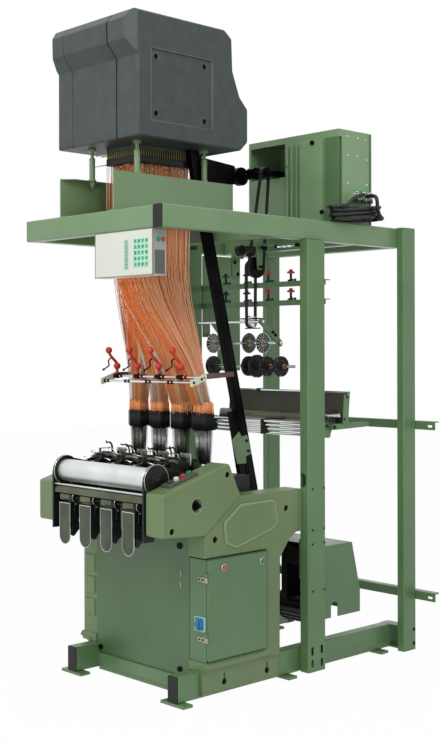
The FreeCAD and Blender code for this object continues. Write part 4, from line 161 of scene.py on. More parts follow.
def rod(start, end, radius, sides=16, edge=0.8):
    """A round bar between two points, with a small chamfer at each end."""
    start, end = np.asarray(start, float), np.asarray(end, float)
    length = np.linalg.norm(end - start)
    edge = min(edge, radius / 2, length / 3)
    profile = [(0, radius - edge), (edge, radius), (length - edge, radius), (length, radius - edge)]
    return turned(start, end - start, profile, sides)


def ball(centre, radius, sides=20, rows=11):
    """A ball: circles of radius r sin a at height -r cos a, for a from near 0 to near pi."""
    a = np.linspace(0.12, math.pi - 0.12, rows)
    start = np.asarray(centre, float)
    return turned(start, (0, 0, 1), np.stack([-radius * np.cos(a), radius * np.sin(a)], 1), sides)


def bent(points, radius, sides=8, steps=6, taper=(1.0, 1.0)):
    """A bent wire: circles carried along a quadratic B-spline through the runs' middles."""
    points = np.asarray(points, float)
    middles = (points[1:] + points[:-1]) / 2
    t = np.linspace(0, 1, steps, endpoint=False)[:, None]
    curve = [points[:1]]
    for a, b, c in zip(middles[:-1], points[1:-1], middles[1:]):
        curve.append((1 - t) ** 2 * a + 2 * t * (1 - t) * b + t ** 2 * c)
    line = np.concatenate(curve + [middles[-1:], points[-1:]])
    return carried(line, radius, sides, taper)


def carried(line, radius, sides=8, taper=(1.0, 1.0)):
    """A circle carried along a line of points: ring i stands square to the line at point i, and
    is turned the least from the ring before it. Its radius follows taper from end to end."""
    line = np.asarray(line, float)
    way = np.gradient(line, axis=0)
    way /= np.linalg.norm(way, axis=1)[:, None]
    side = across(way[0])[0]
    out = []
    for w in way:
        side = side - w * side.dot(w)
        side /= np.linalg.norm(side)
        out.append(side)
    out = np.array(out)
    up = np.cross(way, out)
    angle = full_turn(sides)[None, :, None]
    along = np.linspace(0, 1, len(line))
    scale = radius * np.interp(along, np.linspace(0, 1, len(taper)), taper)[:, None, None]
    return skin(line[:, None] + scale * (np.cos(angle) * out[:, None] + np.sin(angle) * up[:, None]))


def rounded(corners, radius, steps=5):
    """An outline whose corners are arcs: at each corner the arc's centre lies on the bisector
    and its points are centre + radius * (cos a, sin a) between the two tangent directions."""
    corners = np.asarray(corners, float)
    n = len(corners)
    radii = np.broadcast_to(np.asarray(radius, float), (n,))
    points = []
    for i, r in enumerate(radii):
        p = corners[i]
        if r <= 0:
            points.append(p[None])
            continue
        u, v = corners[i - 1] - p, corners[(i + 1) % n] - p
        u, v = u / np.linalg.norm(u), v / np.linalg.norm(v)
        half = math.acos(np.clip(u.dot(v), -1, 1)) / 2
        centre = p + (u + v) / np.linalg.norm(u + v) * r / math.sin(half)
        a, b = p + u * r / math.tan(half) - centre, p + v * r / math.tan(half) - centre
        t = np.linspace(0, 1, steps)[:, None]
        arc = a * (1 - t) + b * t
        points.append(centre + arc / np.linalg.norm(arc, axis=1)[:, None] * r)
    return np.concatenate(points)


def shrunk(outline, distance):
    """An outline moved inwards: each point goes along the mean of its two edges' normals."""
    before, after = outline - np.roll(outline, 1, 0), np.roll(outline, -1, 0) - outline
    before /= np.maximum(np.linalg.norm(before, axis=1), 1e-9)[:, None]
    after /= np.maximum(np.linalg.norm(after, axis=1), 1e-9)[:, None]
    way = before + after
    way /= np.maximum(np.linalg.norm(way, axis=1), 1e-9)[:, None]
    area = np.sum(outline[:, 0] * np.roll(outline[:, 1], -1) - np.roll(outline[:, 0], -1) * outline[:, 1])
    inward = np.stack([-way[:, 1], way[:, 0]], 1) * np.sign(area)
    return outline + inward * distance


def slab(corners, axis, low, high, radius=0.0, bevel=0.6, steps=5):
    """A plate: an outline carried along an axis, smaller by the bevel at both ends."""
    outline = rounded(corners, radius, steps)
    inner = shrunk(outline, bevel)
    flats = ((inner, low), (outline, low + bevel), (outline, high - bevel), (inner, high))
    return skin([np.insert(flat, "xyz".index(axis), at, axis=1) for flat, at in flats])


def box_of(a0, a1, b0, b1):
    """A rectangle's corners from its bounds."""
    return [(a0, b0), (a1, b0), (a1, b1), (a0, b1)]


def brick(x, y, z, bevel=0.8):
    """A block between pairs of bounds, its edges bevelled."""
    return slab(box_of(*x, *y), "z", *z, bevel=bevel)


def strands(levels, radius):
    """Many cords side by side. Each is a three-sided prism through its places on the levels, from
    the top down; corner k of a ring is place + radius * (cos, sin) of k thirds of a turn."""
    levels = np.stack(levels, 1).astype(float)
    cords, rows = levels.shape[:2]
    angle = full_turn(3)
    ring = np.stack([np.cos(angle), np.sin(angle), np.zeros(3)], -1)
    radius = np.broadcast_to(radius, (cords, rows))[:, :, None, None]
    points = (levels[:, :, None] + radius * ring).reshape(-1, 3)
    start = np.arange(cords)[:, None, None] * rows * 3
    row, k = np.arange(rows - 1)[:, None] * 3, np.arange(3)[None, :]
    after = (k + 1) % 3
    pattern = np.stack([row + k, row + 3 + k, row + 3 + after, row + after], -1).reshape(-1, 4)
    caps = np.array([[0, 1, 2], [2, 1, 0]]) + np.array([[0], [(rows - 1) * 3]])
    return points, [(start + pattern).reshape(-1, 4), (start + caps).reshape(-1, 3)]


def mesh_piece(name, parts, finish, body="frame", stands_for=(), slot=None, sharp=32.0, shade=None):
    """Edges sharper than so many degrees stay sharp. Shade is one value for each point."""
    offsets = np.cumsum([0] + [len(points) for points, _ in parts])
    faces = [face for start, (_, blocks) in zip(offsets, parts) for block in blocks
             for face in (block + start).tolist()]
    mesh = bpy.data.meshes.new(name)
    mesh.from_pydata(place(np.concatenate([points for points, _ in parts])).tolist(), [], faces, False)
    mesh.set_sharp_from_angle(angle=math.radians(sharp))
    if shade is not None:
        mesh.attributes.new("shade", "FLOAT", "POINT").data.foreach_set("value", shade.astype(np.float32))
    mesh.materials.append(finish)
    piece = bpy.data.objects.new(name, mesh)
    bpy.context.scene.collection.objects.link(piece)
    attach(piece, body)
    if stands_for:
        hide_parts(*stands_for)


# ---- materials
def linear(colour):
    """An sRGB hex colour, such as '#7f9a7a', as the linear values that a shader takes."""
    part = np.array([int(colour[i:i + 2], 16) for i in (1, 3, 5)]) / 255
    value = np.where(part <= 0.04045, part / 12.92, ((part + 0.055) / 1.055) ** 2.4)
    return (*value, 1.0)


def add(tree, kind, sockets=None, **settings):
    """Adds a node: settings are its own, and sockets hold a value or the output that feeds them."""
    node = tree.nodes.new("ShaderNode" + kind)
    for key, value in settings.items():
        setattr(node, key, value)
    for key, value in (sockets or {}).items():
        if isinstance(value, bpy.types.NodeSocket):
            tree.links.new(value, node.inputs[key])
        else:
            node.inputs[key].default_value = value
    return node


def surface(name, **sockets):
    """A material with one Principled shader; returns the material, its tree and the shader."""
    made = bpy.data.materials.new(name)
    made.use_nodes = True
    tree = made.node_tree
    shader = tree.nodes["Principled BSDF"]
    for key, value in sockets.items():
        shader.inputs[key.replace("_", " ")].default_value = value
    return made, tree, shader


def feed(tree, shader, **sources):
    """Links outputs to the shader's inputs, named with _ for each space."""
    for key, source in sources.items():
        tree.links.new(source, shader.inputs[key.replace("_", " ")])


def cloud(tree, size_mm, stretch=(1, 1, 1), detail=2.0):
    """Uneven values from 0 to 1 whose patches are about size_mm across, longer along stretch."""
    where = add(tree, "TexCoord")
    scale = [1000.0 / size_mm / s for s in stretch]
    mapped = add(tree, "Mapping", {"Vector": where.outputs["Object"], "Scale": scale})
    noise = add(tree, "TexNoise", {"Vector": mapped.outputs["Vector"], "Scale": 1.0, "Detail": detail})
    return noise.outputs["Fac"]


def span(tree, source, low, high):
    """The source's middle values, 0.3 to 0.7, spread from low to high."""
    mapped = add(tree, "MapRange", {"Value": source, "From Min": 0.3, "From Max": 0.7,
                                    "To Min": low, "To Max": high})
    return mapped.outputs["Result"]


def tinted(tree, factor, dark, light):
    """A colour between two hex colours."""
    mixed = add(tree, "Mix", {"Factor": factor, "A": linear(dark), "B": linear(light)}, data_type="RGBA")
    return mixed.outputs["Result"]


def relief(tree, height, depth_mm, edge_mm=0.0):
    """Small relief from a pattern, over edges that catch the light as if rounded by edge_mm."""
    sockets = {}
    if edge_mm:
        sockets["Normal"] = add(tree, "Bevel", {"Radius": edge_mm * MM}, samples=6).outputs["Normal"]
    return add(tree, "Bump", {"Height": height, "Distance": depth_mm * MM, "Strength": 1.0,
                              **sockets}).outputs["Normal"]


def patterned(name, dark, light, patch, shine, grain, stretch=(1, 1, 1), edge_mm=0.0, **sockets):
    """A surface from three patterns. Patch (size, detail) drifts its colour from dark to light,
    shine (size, from, to) its roughness, and grain (size, detail, depth) is its relief. Where
    shine gives no size, the roughness follows the grain."""
    made, tree, shader = surface(name, **sockets)
    marks = cloud(tree, grain[0], stretch, grain[1])
    feed(tree, shader,
         Base_Color=tinted(tree, span(tree, cloud(tree, patch[0], detail=patch[1]), 0.0, 1.0), dark, light),
         Roughness=span(tree, cloud(tree, shine[0]) if shine[0] else marks, *shine[1:]),
         Normal=relief(tree, marks, grain[2], edge_mm))
    return made


def enamel(name, dark, light, rough=0.38, peel_mm=7.0, depth=0.05, coat=0.15, edge_mm=3.0, gloss=0.5):
    """Stoved enamel, sprayed: an even colour with faint clouds, and the soft ripple of orange
    peel, about 2 mm in life and drawn coarser so that it shows."""
    return patterned(name, dark, light, patch=(320.0, 3.0), shine=(90.0, rough - 0.06, rough + 0.06),
                     grain=(peel_mm, 2.0, depth), edge_mm=edge_mm, Coat_Weight=coat, Coat_Roughness=0.25,
                     Specular_IOR_Level=gloss)


def moulded(name, dark, light, rough=0.5, grain_mm=3.0, depth=0.12, edge_mm=0.0, gloss=0.5):
    """Moulded plastic with an eroded grain: fine pits that scatter the gloss."""
    return patterned(name, dark, light, patch=(60.0, 4.0), shine=(12.0, rough - 0.05, rough + 0.08),
                     grain=(grain_mm, 3.0, depth), edge_mm=edge_mm, IOR=1.5, Specular_IOR_Level=gloss)


def metal(name, dark, light, rough, stretch=(1, 1, 1), grain_mm=6.0, depth=0.01):
    """Bare or plated metal: its marks run along stretch, as it was turned, drawn or brushed."""
    return patterned(name, dark, light, patch=(120.0, 2.0), shine=(None, rough - 0.08, rough + 0.08),
                     grain=(grain_mm, 4.0, depth), stretch=stretch, Metallic=1.0)


def soft_black(name, dark, light, rough, depth=0.05):
    """Rubber and cable sheath: nearly matt, greyed a little by dust."""
    return patterned(name, dark, light, patch=(40.0, 4.0), shine=(15.0, rough - 0.08, rough + 0.08),
                     grain=(2.5, 2.0, depth), IOR=1.5, Specular_IOR_Level=0.35)


# The colour of a cord by its shade, between the darkest and the whitest.
CORD_SHADES = {0.12: "#7a3a20", 0.26: "#e67836", 0.5: "#fb8b3e", 0.75: "#fcb078", 0.92: "#fcdabb"}


def harness_polyester():
    """Dyed polyester cord, each strand with its own shade from dark to pale, which is partly its own colour
    and partly painted light and shade.
    """
    made, tree, shader = surface("orange polyester harness cord", Roughness=0.55,
                                 Sheen_Weight=0.2, Sheen_Roughness=0.4)
    shade = add(tree, "Attribute", attribute_name="shade")
    ramp = add(tree, "ValToRGB", {"Fac": shade.outputs["Fac"]})
    stops = ramp.color_ramp.elements
    stops[0].position, stops[0].color = 0.0, linear("#24161a")
    stops[1].position, stops[1].color = 1.0, linear("#f6f2ec")
    for position, colour in CORD_SHADES.items():
        stops.new(position).color = linear(colour)
    feed(tree, shader, Base_Color=ramp.outputs["Color"])
    return made


def lens(name, colour):
    """Clear dyed acrylic over a dark lamp socket: deep colour below a hard gloss."""
    made, tree, shader = surface(name, Roughness=0.08, IOR=1.49, Coat_Weight=1.0, Coat_Roughness=0.03)
    depth = add(tree, "LayerWeight", {"Blend": 0.35})
    dark = tuple(0.25 * c for c in linear(colour)[:3]) + (1.0,)
    mixed = add(tree, "Mix", {"Factor": depth.outputs["Facing"], "A": linear(colour), "B": dark},
                data_type="RGBA")
    feed(tree, shader, Base_Color=mixed.outputs["Result"])
    return made


# Green enamels, from pale sheet to deep panels: soft broad highlights, and a brighter line along edges. The
# rear cabinet's lighter green and the castings' paler rims are painted light.
green = enamel("green enamel on rolled steel", "#65835b", "#6f8d65", coat=0.3, edge_mm=5.0)
green_posts = enamel("green enamel on hollow sections", "#55764c", "#5f8156")
green_dark = enamel("green enamel on the folded cabinets", "#4e6f49", "#597952")
# The rear cabinet's green is lighter than the platform's as painted light, making up for the shade on its
# front.
cabinet_lit_green = enamel("green enamel on the rear cabinet's sheet", "#75946c", "#809f77")
panel_green = enamel("green enamel on the front panel", "#44613e", "#4e6b46")
cast_green = enamel("green enamel on cast iron", "#5e7449", "#6a7f55", rough=0.42, peel_mm=9.0,
                    depth=0.09, edge_mm=5.0)
# The rims' paler green is a painted highlight, where the rims catch the light.
cast_rim_highlight = enamel("green enamel worn pale on the castings' rims", "#7a8e65", "#86996f",
                   rough=0.3, edge_mm=1.0)
cast_pale = enamel("pale green enamel on small castings", "#c9cdb4", "#d5d9c1", rough=0.4)
# Other enamels: the near-black castings stay dark in the light, the red levers and the white box
# are the strongest spots, and the olive beam shines through its varnish.
machine_black = enamel("black enamel on machined castings", "#101211", "#181a19", rough=0.36,
                       coat=0.0, gloss=0.25)
red_enamel = enamel("red enamel on steel", "#ae2f1f", "#c43a27", rough=0.3, coat=0.0,
                    gloss=0.35, edge_mm=1.0)
tray_grey = enamel("beige-grey enamel on sheet steel", "#403f37", "#4a493f", rough=0.5, gloss=0.3)
panel_white = enamel("off-white enamel on a steel box", "#d2d5ca", "#dadcd1", rough=0.4)
box_grey = enamel("grey enamel on the box's side", "#8b9189", "#979d94", rough=0.35)
box_rim_grey = enamel("grey enamel on the box's rim", "#707770", "#7b827b", rough=0.35, edge_mm=1.0)
box_dark_grey = enamel("dark grey enamel on the box's side", "#474b47", "#525652", rough=0.35)
olive_wood = enamel("olive varnish on the rest beam", "#4c4638", "#7a725b", rough=0.34, coat=0.3)
# Mouldings and prints: even and dull, the head's cover with a grain that breaks up its highlight.
head_grey = moulded("grey grained moulding", "#2b3433", "#36403e", rough=0.46, grain_mm=4.0,
                    depth=0.22, edge_mm=6.0)
# A lighter copy of the cover's grey for its rims: painted highlight.
head_highlight_grey = moulded("grey moulding, glossy on its edges", "#4b5456", "#586163", rough=0.3, depth=0.05)
strip_grey = moulded("grey strip moulding", "#484a44", "#54564f", rough=0.42, edge_mm=1.5)
black_plastic = moulded("black nylon", "#131413", "#1b1d1c", rough=0.42, gloss=0.28)
keypad_green = moulded("green printed keypad film", "#5cc69a", "#6fd0a8", rough=0.4, depth=0.02)
key_dark = moulded("dark green print", "#0f4a36", "#16543e", rough=0.4, depth=0.02)
bar_green = moulded("green print", "#2c9a70", "#38a67b", rough=0.4, depth=0.02)
switch_plate_blue = moulded("pale blue switch plate", "#9dc0cc", "#a9cad5", rough=0.35, depth=0.02)
switch_blue = moulded("blue switch plastic", "#2a6f92", "#347ca0", rough=0.3, depth=0.02)
button_white = moulded("white button plastic", "#e3dfc8", "#ece9d4", rough=0.3, depth=0.02)
button_red = moulded("red button plastic", "#b02a24", "#c0332b", rough=0.28, depth=0.02)
button_green = moulded("green button plastic", "#1f7a55", "#268a61", rough=0.28, depth=0.02)
button_dark = moulded("dark green button plastic", "#12301f", "#1a3b29", rough=0.28, depth=0.02)
# Metals: ground and drawn ones have streaks, plated ones a hard bright line, blackened ones a dim one.
steel = metal("ground steel", "#a9aeac", "#c3c8c6", 0.3, stretch=(12, 1, 1))
roller_steel = metal("matt ground roller steel", "#cfd6d3", "#dde3e0", 0.46, stretch=(1, 8, 8),
                     grain_mm=5.0)
chrome = metal("hard chrome on steel", "#c9cdcc", "#dfe3e2", 0.16)
zinc = metal("bright zinc on steel", "#c4c6bd", "#dcded6", 0.28)
hinge_zinc = metal("dull zinc on cast hinges", "#8e8d7d", "#aeac9b", 0.34)
brass = metal("turned brass", "#a98c4a", "#c2a55e", 0.25)
pin_brass = metal("dull brass hook pins", "#6f6840", "#8d8452", 0.4)
black_oxide = metal("black oxide on steel", "#121313", "#1c1d1d", 0.42)
heddle_steel = metal("drawn heddle wire", "#4b4f42", "#6e7263", 0.5, stretch=(1, 1, 30))
# The chutes' dark green tint is a painted reflection of the green panels round them.
chute_steel_reflection = metal("mirror-rolled steel of the chutes", "#434b42", "#596156", 0.14, depth=0.0)
roller_olive = metal("olive anodised sleeve", "#53564a", "#70735f", 0.34, stretch=(14, 1, 1))
# Soft and clear ones: dull rubber, glossier sheath, worn leather, the cords' shades, deep lamp lenses.
rubber = soft_black("black belt rubber", "#0f0f0f", "#1a1a19", 0.6)
sheath = soft_black("black cable sheath", "#0b0c0c", "#151717", 0.3, depth=0.02)
leather = soft_black("brown leather strap", "#4a2a22", "#5d382d", 0.5)
orange = harness_polyester()
red_lens = lens("red acrylic lens", "#b3161a")
green_lens = lens("green acrylic lens", "#0f6b4d")

# The solids that the scene shows as they are, by their finish.
FINISHES = {
    green: "platform_rails platform_cross_members head_channels head_legs",
    cabinet_lit_green: "rear_cabinet",
    green_posts: "floor_beams floor_feet floor_cross_members mid_post_right mid_post_left rear_posts "
                 "rear_cross_bars feed_frame warp_lever",
    panel_green: "front_panel",
    green_dark: "electrical_cabinet cabinet_door motor_guard",
    cast_green: "side_casting_right side_casting_left front_cover_right front_cover_left",
    head_grey: "jacquard_cover",
    black_plastic: "end_caps cloth_rollers hook_box",
    machine_black: "machine_bed weaving_heads takeup_brackets drive_motor",
    strip_grey: "control_strip",
    black_oxide: "belt_guard top_drive_shaft drive_bearing idler_pulley",
    steel: "reed_batten",
    heddle_steel: "needle_arms",
    chute_steel_reflection: "ribbon_chutes",
    roller_steel: "takeup_roller",
    chrome: "guide_rods feed_drive_shaft backrest_rods",
    rubber: "drive_belts",
    sheath: "cable_hank",
    panel_white: "control_box",
    button_white: "strip_button_white",
    button_red: "strip_button_red box_button_red",
    button_green: "strip_button_green box_button_green",
    button_dark: "strip_button_dark",
    switch_blue: "main_switch",
}


def finish_solids():
    """Gives every solid of the frame its finish, through its material slots."""
    for finish, names in FINISHES.items():
        for name in names.split():
            slots = nodes[name].data.materials
            slots.clear()
            slots.append(finish)


# ---- cable hank
CABLE_RADIUS = 9.0
HANK_LOOPS = 4
HANK_TILT = math.radians(5.0)
HANK_END_RADIUS = 38.0
HANK_STEP = 19.2
HANK_INNER_X = CABINET_SIDE_X + CABLE_RADIUS + 3.0
HANK_FRONT_Y, HANK_REAR_Y = 912.0 + CABLE_RADIUS, 1263.0 - CABLE_RADIUS
HANK_LOW_Z = RAIL_TOP + CABLE_RADIUS + 0.3
PLUG_Z, PLUG_X, PLUG_YS = 2233.0, 425.0, (1123.0, 1173.0)
REAR_PULL = (0.0, 20.0, 6.0, 24.0)          # how far each turn's rear bend stays short of the first
FRONT_PULL = (0.0, 14.0, 4.0, 18.0)
POINTS_IN_BEND = 6


def hank_points():
    """The spline's points: out of the first plug, round the loops from the top one down, and
    up to the last plug. A bend's points stand on a half circle, wide enough for the curve."""
    r = HANK_END_RADIUS
    middle_x, outer_x = HANK_INNER_X + r, HANK_INNER_X + 2 * r
    front, rear = HANK_FRONT_Y + r, HANK_REAR_Y - r
    step = math.pi / POINTS_IN_BEND
    angle = step * (np.arange(POINTS_IN_BEND) + 0.5)
    reach = r / math.cos(step / 2)
    turns = []
    for i in range(HANK_LOOPS):
        high = HANK_LOW_Z + HANK_STEP * (HANK_LOOPS - 1 - i)
        low = high - HANK_STEP / 2
        for y, z, sign in ((front + FRONT_PULL[i], high, -1), (rear - REAR_PULL[i], low, 1)):
            bend = np.stack([middle_x - sign * reach * np.cos(angle), y + sign * reach * np.sin(angle),
                             np.full_like(angle, z)], 1)
            turns.append(bend)
            x, z = (HANK_INNER_X, (high + low) / 2) if sign < 0 else (outer_x, low - HANK_STEP / 4)
            turns.append(np.array([[x, (front + rear) / 2, z]]))
    turns = np.concatenate(turns[:-1])
    pivot = np.array([middle_x, HANK_FRONT_Y, HANK_LOW_Z])
    c, s = math.cos(HANK_TILT), math.sin(HANK_TILT)
    turns = (turns - pivot) @ np.array([[1, 0, 0], [0, c, s], [0, -s, c]]) + pivot
    first, last = (np.array([PLUG_X, y, PLUG_Z]) for y in PLUG_YS)
    rear_z = turns[-3][2]
    lead = [first, first + (22, 0, 0), first + (48, -6, 0), (outer_x + 3, first[1] - 36, PLUG_Z - 3),
            (outer_x + 2, first[1] - 90, PLUG_Z - 18), (outer_x, front + 34, turns[0][2] + 8)]
    tail = [(outer_x + 19, rear + 14, rear_z + 1), (outer_x + 27, rear - 22, rear_z + 8),
            (outer_x + 27, last[1] + 2, PLUG_Z - 66), (outer_x + 27, last[1] - 2, PLUG_Z - 8),
            last + (46, 0, 0), last + (20, 0, 0), last]
    return np.concatenate([lead, turns, tail])


def cable_hank():
    data = bpy.data.curves.new("cable_hank_sheath", "CURVE")
    data.dimensions = "3D"
    data.bevel_depth = CABLE_RADIUS * MM
    data.bevel_resolution = 5
    data.use_fill_caps = True
    data.resolution_u = 8
    spline = data.splines.new("NURBS")
    points = place(hank_points())
    spline.points.add(len(points) - 1)
    spline.points.foreach_set("co", np.column_stack([points, np.ones(len(points))]).ravel())
    spline.order_u = 3
    spline.use_endpoint_u = True
    data.materials.append(sheath)
    cable = bpy.data.objects.new("cable_hank_sheath", data)
    bpy.context.scene.collection.objects.link(cable)
    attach(cable, "frame")
    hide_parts("cable_hank")


# ---- harness
rng = np.random.default_rng(7)              # one source of chance; pieces draw in the order they are made
CORD_COLUMNS, CORD_ROWS = 14, 30            # of one bundle
THIN_CORD_RADIUS = 0.42
CORD_RADIUS = 1.3
WINDOW = 110.0                              # over which a cord's bend at the guide is rounded
DARK, WHITE = 0.08, 0.97                    # shades of the odd cords; DARK is also the painted shade on the first bundle's leftmost cords


def spread(box, columns, rows, jitter=0.0):
    """Places on a grid over a rectangle, each row shifted against the last, and a little uneven."""
    x0, x1, y0, y1 = box
    u, v = np.meshgrid((np.arange(columns) + 0.5) / columns, (np.arange(rows) + 0.5) / rows)
    u = u + 0.25 / columns * (np.arange(rows) % 2 * 2 - 1)[:, None]
    xy = np.stack([x0 + (x1 - x0) * u, y0 + (y1 - y0) * v], -1).reshape(-1, 2)
    return xy + rng.normal(0, 1, xy.shape) * jitter


def level(xy, z):
    """Places (x, y) at one height, or each at its own."""
    return np.column_stack([xy, np.broadcast_to(z, len(xy))])


def bundle_box(x, margin=0.0):
    """The rectangle of the heddle bundle round x, smaller by the margin on every side."""
    half, deep = BUNDLE_WIDTH / 2 - margin, BUNDLE_DEPTH / 2 - margin
    return x - half, x + half, BUNDLE_Y - deep, BUNDLE_Y + deep


def harness():
    """Cords from the hooks to the four bundles: each hook sends one to every bundle, so they cross.
    A cord's place is linear between the levels, and the mean over a window rounds its bends. The outer cords
    of three bundles turn into thin pale ones below the rods, as the real ones do. Shades run from 0, dark, to
    1, white, with a few odd cords. Being paler to the right and the back is painted light, where more light
    falls on the cords, and the first bundle's leftmost cords are darkened as painted shade."""
    knots = np.array([HOOKS_Z, GUIDE_Z, GATHER_Z, BUNDLE_TOP_Z])
    heights = np.array([HOOKS_Z, 2060.0, 1920.0, 1820.0, 1720.0, 1600.0, 1480.0, GATHER_Z + 14, GATHER_Z - 4,
                        BUNDLE_TOP_Z + 34])
    levels, radii, shades = [], [], []
    for i, x in enumerate(HEAD_X):
        share = i / (len(HEAD_X) - 1)
        low = np.array(bundle_box(x, 2.0))
        boxes = [np.array(HOOKS) + (0.9 * i, 0.9 * i, 2.7 * i, 2.7 * i), np.array(GUIDE) + (2, -2, 2, -2),
                 low + np.repeat(np.multiply(GATHER_SHIFT, share), 2), low]
        state = rng.bit_generator.state
        places = []
        for box in boxes:
            rng.bit_generator.state = state
            places.append(spread(box, CORD_COLUMNS, CORD_ROWS, (0.6, 3.4) if len(places) < 2 else 0.5))
        places, count = np.array(places), len(places[0])
        for z in heights:
            window = np.linspace(-WINDOW, WINDOW, 5) * (BUNDLE_TOP_Z + 40 < z < HOOKS_Z)
            near = np.clip(z + window, knots[-1], knots[0])
            row = np.interp(-near, -knots, np.arange(4))
            first = np.minimum(row.astype(int), 2)
            part = (row - first)[:, None, None]
            levels.append(level((places[first] * (1 - part) + places[first + 1] * part).mean(0), z))
        u = (places[3][:, 0] - low[0]) / (low[1] - low[0])
        back = (places[0][:, 1] - HOOKS[2]) / (HOOKS[3] - HOOKS[2])
        pale = [u < 0.45, u < 0.9, u < -1, u > 0.72][i] & (rng.uniform(0, 1, count) < 0.9)
        right = (places[0][:, 0] - HOOKS[0]) / (HOOKS[1] - HOOKS[0])
        # Painted light: the cords grow paler to the right and the back, where more light falls on them, over
        # a random tone.
        tone = 0.36 + 0.1 * share + 0.3 * right ** 1.5 + 0.06 * back + rng.normal(0, 0.07, count)
        # Painted shade: most of the first bundle's leftmost cords are dark; elsewhere a few odd cords are
        # dark by chance.
        dark = rng.uniform(0, 1, count) < np.where((u < 0.14) & (i == 0), 0.6, 0.012)
        tone = np.where(dark, DARK, tone)
        tone = np.where(rng.uniform(0, 1, count) < 0.05, WHITE, tone)
        below = np.where(pale, rng.choice([0.99, 0.97, 0.05, 0.9], count), np.clip(tone + 0.06, 0, 0.8))
        parting = ((u > 0.8) & (i < 2)) | ((u < 0.22) & (0 < i < 3))
        near_rods = np.where(parting & (rng.uniform(0, 1, count) < 0.75), WHITE, tone)
        shades.append(np.stack([tone - 0.1] + [tone] * 5 + [near_rods] * 2 + [below] * 2, 1))
        radii.append(np.where(pale[:, None] & (heights < GATHER_Z), THIN_CORD_RADIUS, CORD_RADIUS))
    levels = [np.concatenate(levels[k::len(heights)]) for k in range(len(heights))]
    shade = np.repeat(np.clip(np.concatenate(shades), 0, 1).ravel(), 3)
    mesh_piece("harness_strands", [strands(levels, np.concatenate(radii))], orange,
               stands_for=["harness_cords"], sharp=180, shade=shade)


def collars():
    """The pale sleeves at the cords' ends, of uneven lengths, over the black springs' tops."""
    parts, shades = [], []
    for x in HEAD_X:
        ends = spread(bundle_box(x, -1.0), 13, 10, 0.8)
        n = len(ends)
        low = BUNDLE_TOP_Z - 8 + rng.uniform(-7, 7, n)
        high = BUNDLE_TOP_Z + 36 + rng.uniform(0, 14, n)
        inner = ends + (np.array([x, BUNDLE_Y]) - ends) * 0.06
        parts.append(strands([level(inner, high), level(ends, low)], 2.3))
        shades.append(np.repeat(rng.uniform(0.5, 0.82, n), 6))
    mesh_piece("harness_collars", parts, orange, sharp=180, shade=np.concatenate(shades))


def springs_and_heddles():
    """Black return springs below the cords, and the drawn wires that hang from them."""
    springs, dark_wires, bright_wires = [], [], []
    for i, x in enumerate(HEAD_X):
        ends = spread(bundle_box(x, -1.5), 17, 12, 0.6)
        n = len(ends)
        springs.append(strands([level(ends, BUNDLE_TOP_Z + rng.uniform(-6, 2, n)),
                                level(ends, BAND_LOW_Z + rng.uniform(-6, 4, n))], 2.6))
        top = spread(bundle_box(x, 2.0), 14, 10, 0.8)
        bottom = spread(bundle_box(x, 9.0), 14, 10, 0.5)
        bright = rng.uniform(0, 1, len(top)) < (0.12, 0.55, 0.15, 0.4)[i]
        for wires, kept in ((dark_wires, ~bright), (bright_wires, bright)):
            wires.append(strands([level(top[kept], BAND_LOW_Z + 2), level(bottom[kept], HEDDLE_LOW_Z)], 0.9))
    mesh_piece("return_springs", springs, black_plastic, stands_for=["heddle_bundles"],
               slot="heddle_wire", sharp=180)
    mesh_piece("heddle_wires", dark_wires, heddle_steel, sharp=180)
    mesh_piece("bright_heddle_wires", bright_wires, steel, slot="heddle_wire", sharp=180)


# ---- small hardware
RIGHT, LEFT, FRONT, BACK, UP = (1, 0, 0), (-1, 0, 0), (0, -1, 0), (0, 1, 0), (0, 0, 1)


def on_x(points, x):
    """Points (y, z) as (x, y, z)."""
    return np.insert(np.asarray(points, float), 0, x, axis=1)


def bricks(rows, bevel=0.8):
    """Blocks from rows of their bounds: X, X, Y, Y, Z, Z."""
    return [brick(row[:2], row[2:4], row[4:], bevel) for row in rows]


def bolt(at, way, radius=7.0, height=5.0, sides=12):
    """A socket screw's head: turned, with a chamfered rim and a sunk middle."""
    r, h = radius, height
    return turned(at, way, [(0, r), (h - 1, r), (h, r - 1), (h, 0.55 * r), (h - 1.4, 0.5 * r)], sides)


def bolts(places, *form):
    """One form of screw head at many places."""
    return [bolt(at, *form) for at in places]


def hexagon(at, way, radius, height):
    """A hexagonal nut with a chamfered upper edge."""
    return turned(at, way, [(0, radius), (height - 1, radius), (height, radius - 1.2)], 6)


def ring(at, way, radius, wire, sides=24, around=8):
    """A ring: a wire's circle carried round a circle; at angles a and b its point is
    at + (radius + wire * cos b) * outwards(a) + wire * sin b * way."""
    way = np.asarray(way, float)
    side, up = across(way)
    a = full_turn(sides)[:, None, None]
    b = full_turn(around)[None, :, None]
    out = np.cos(a) * side + np.sin(a) * up
    return skin(np.asarray(at, float) + (radius + wire * np.cos(b)) * out + wire * np.sin(b) * way, loop=True)


def rings(places, *form):
    """One form of ring at many places."""
    return [ring(at, *form) for at in places]


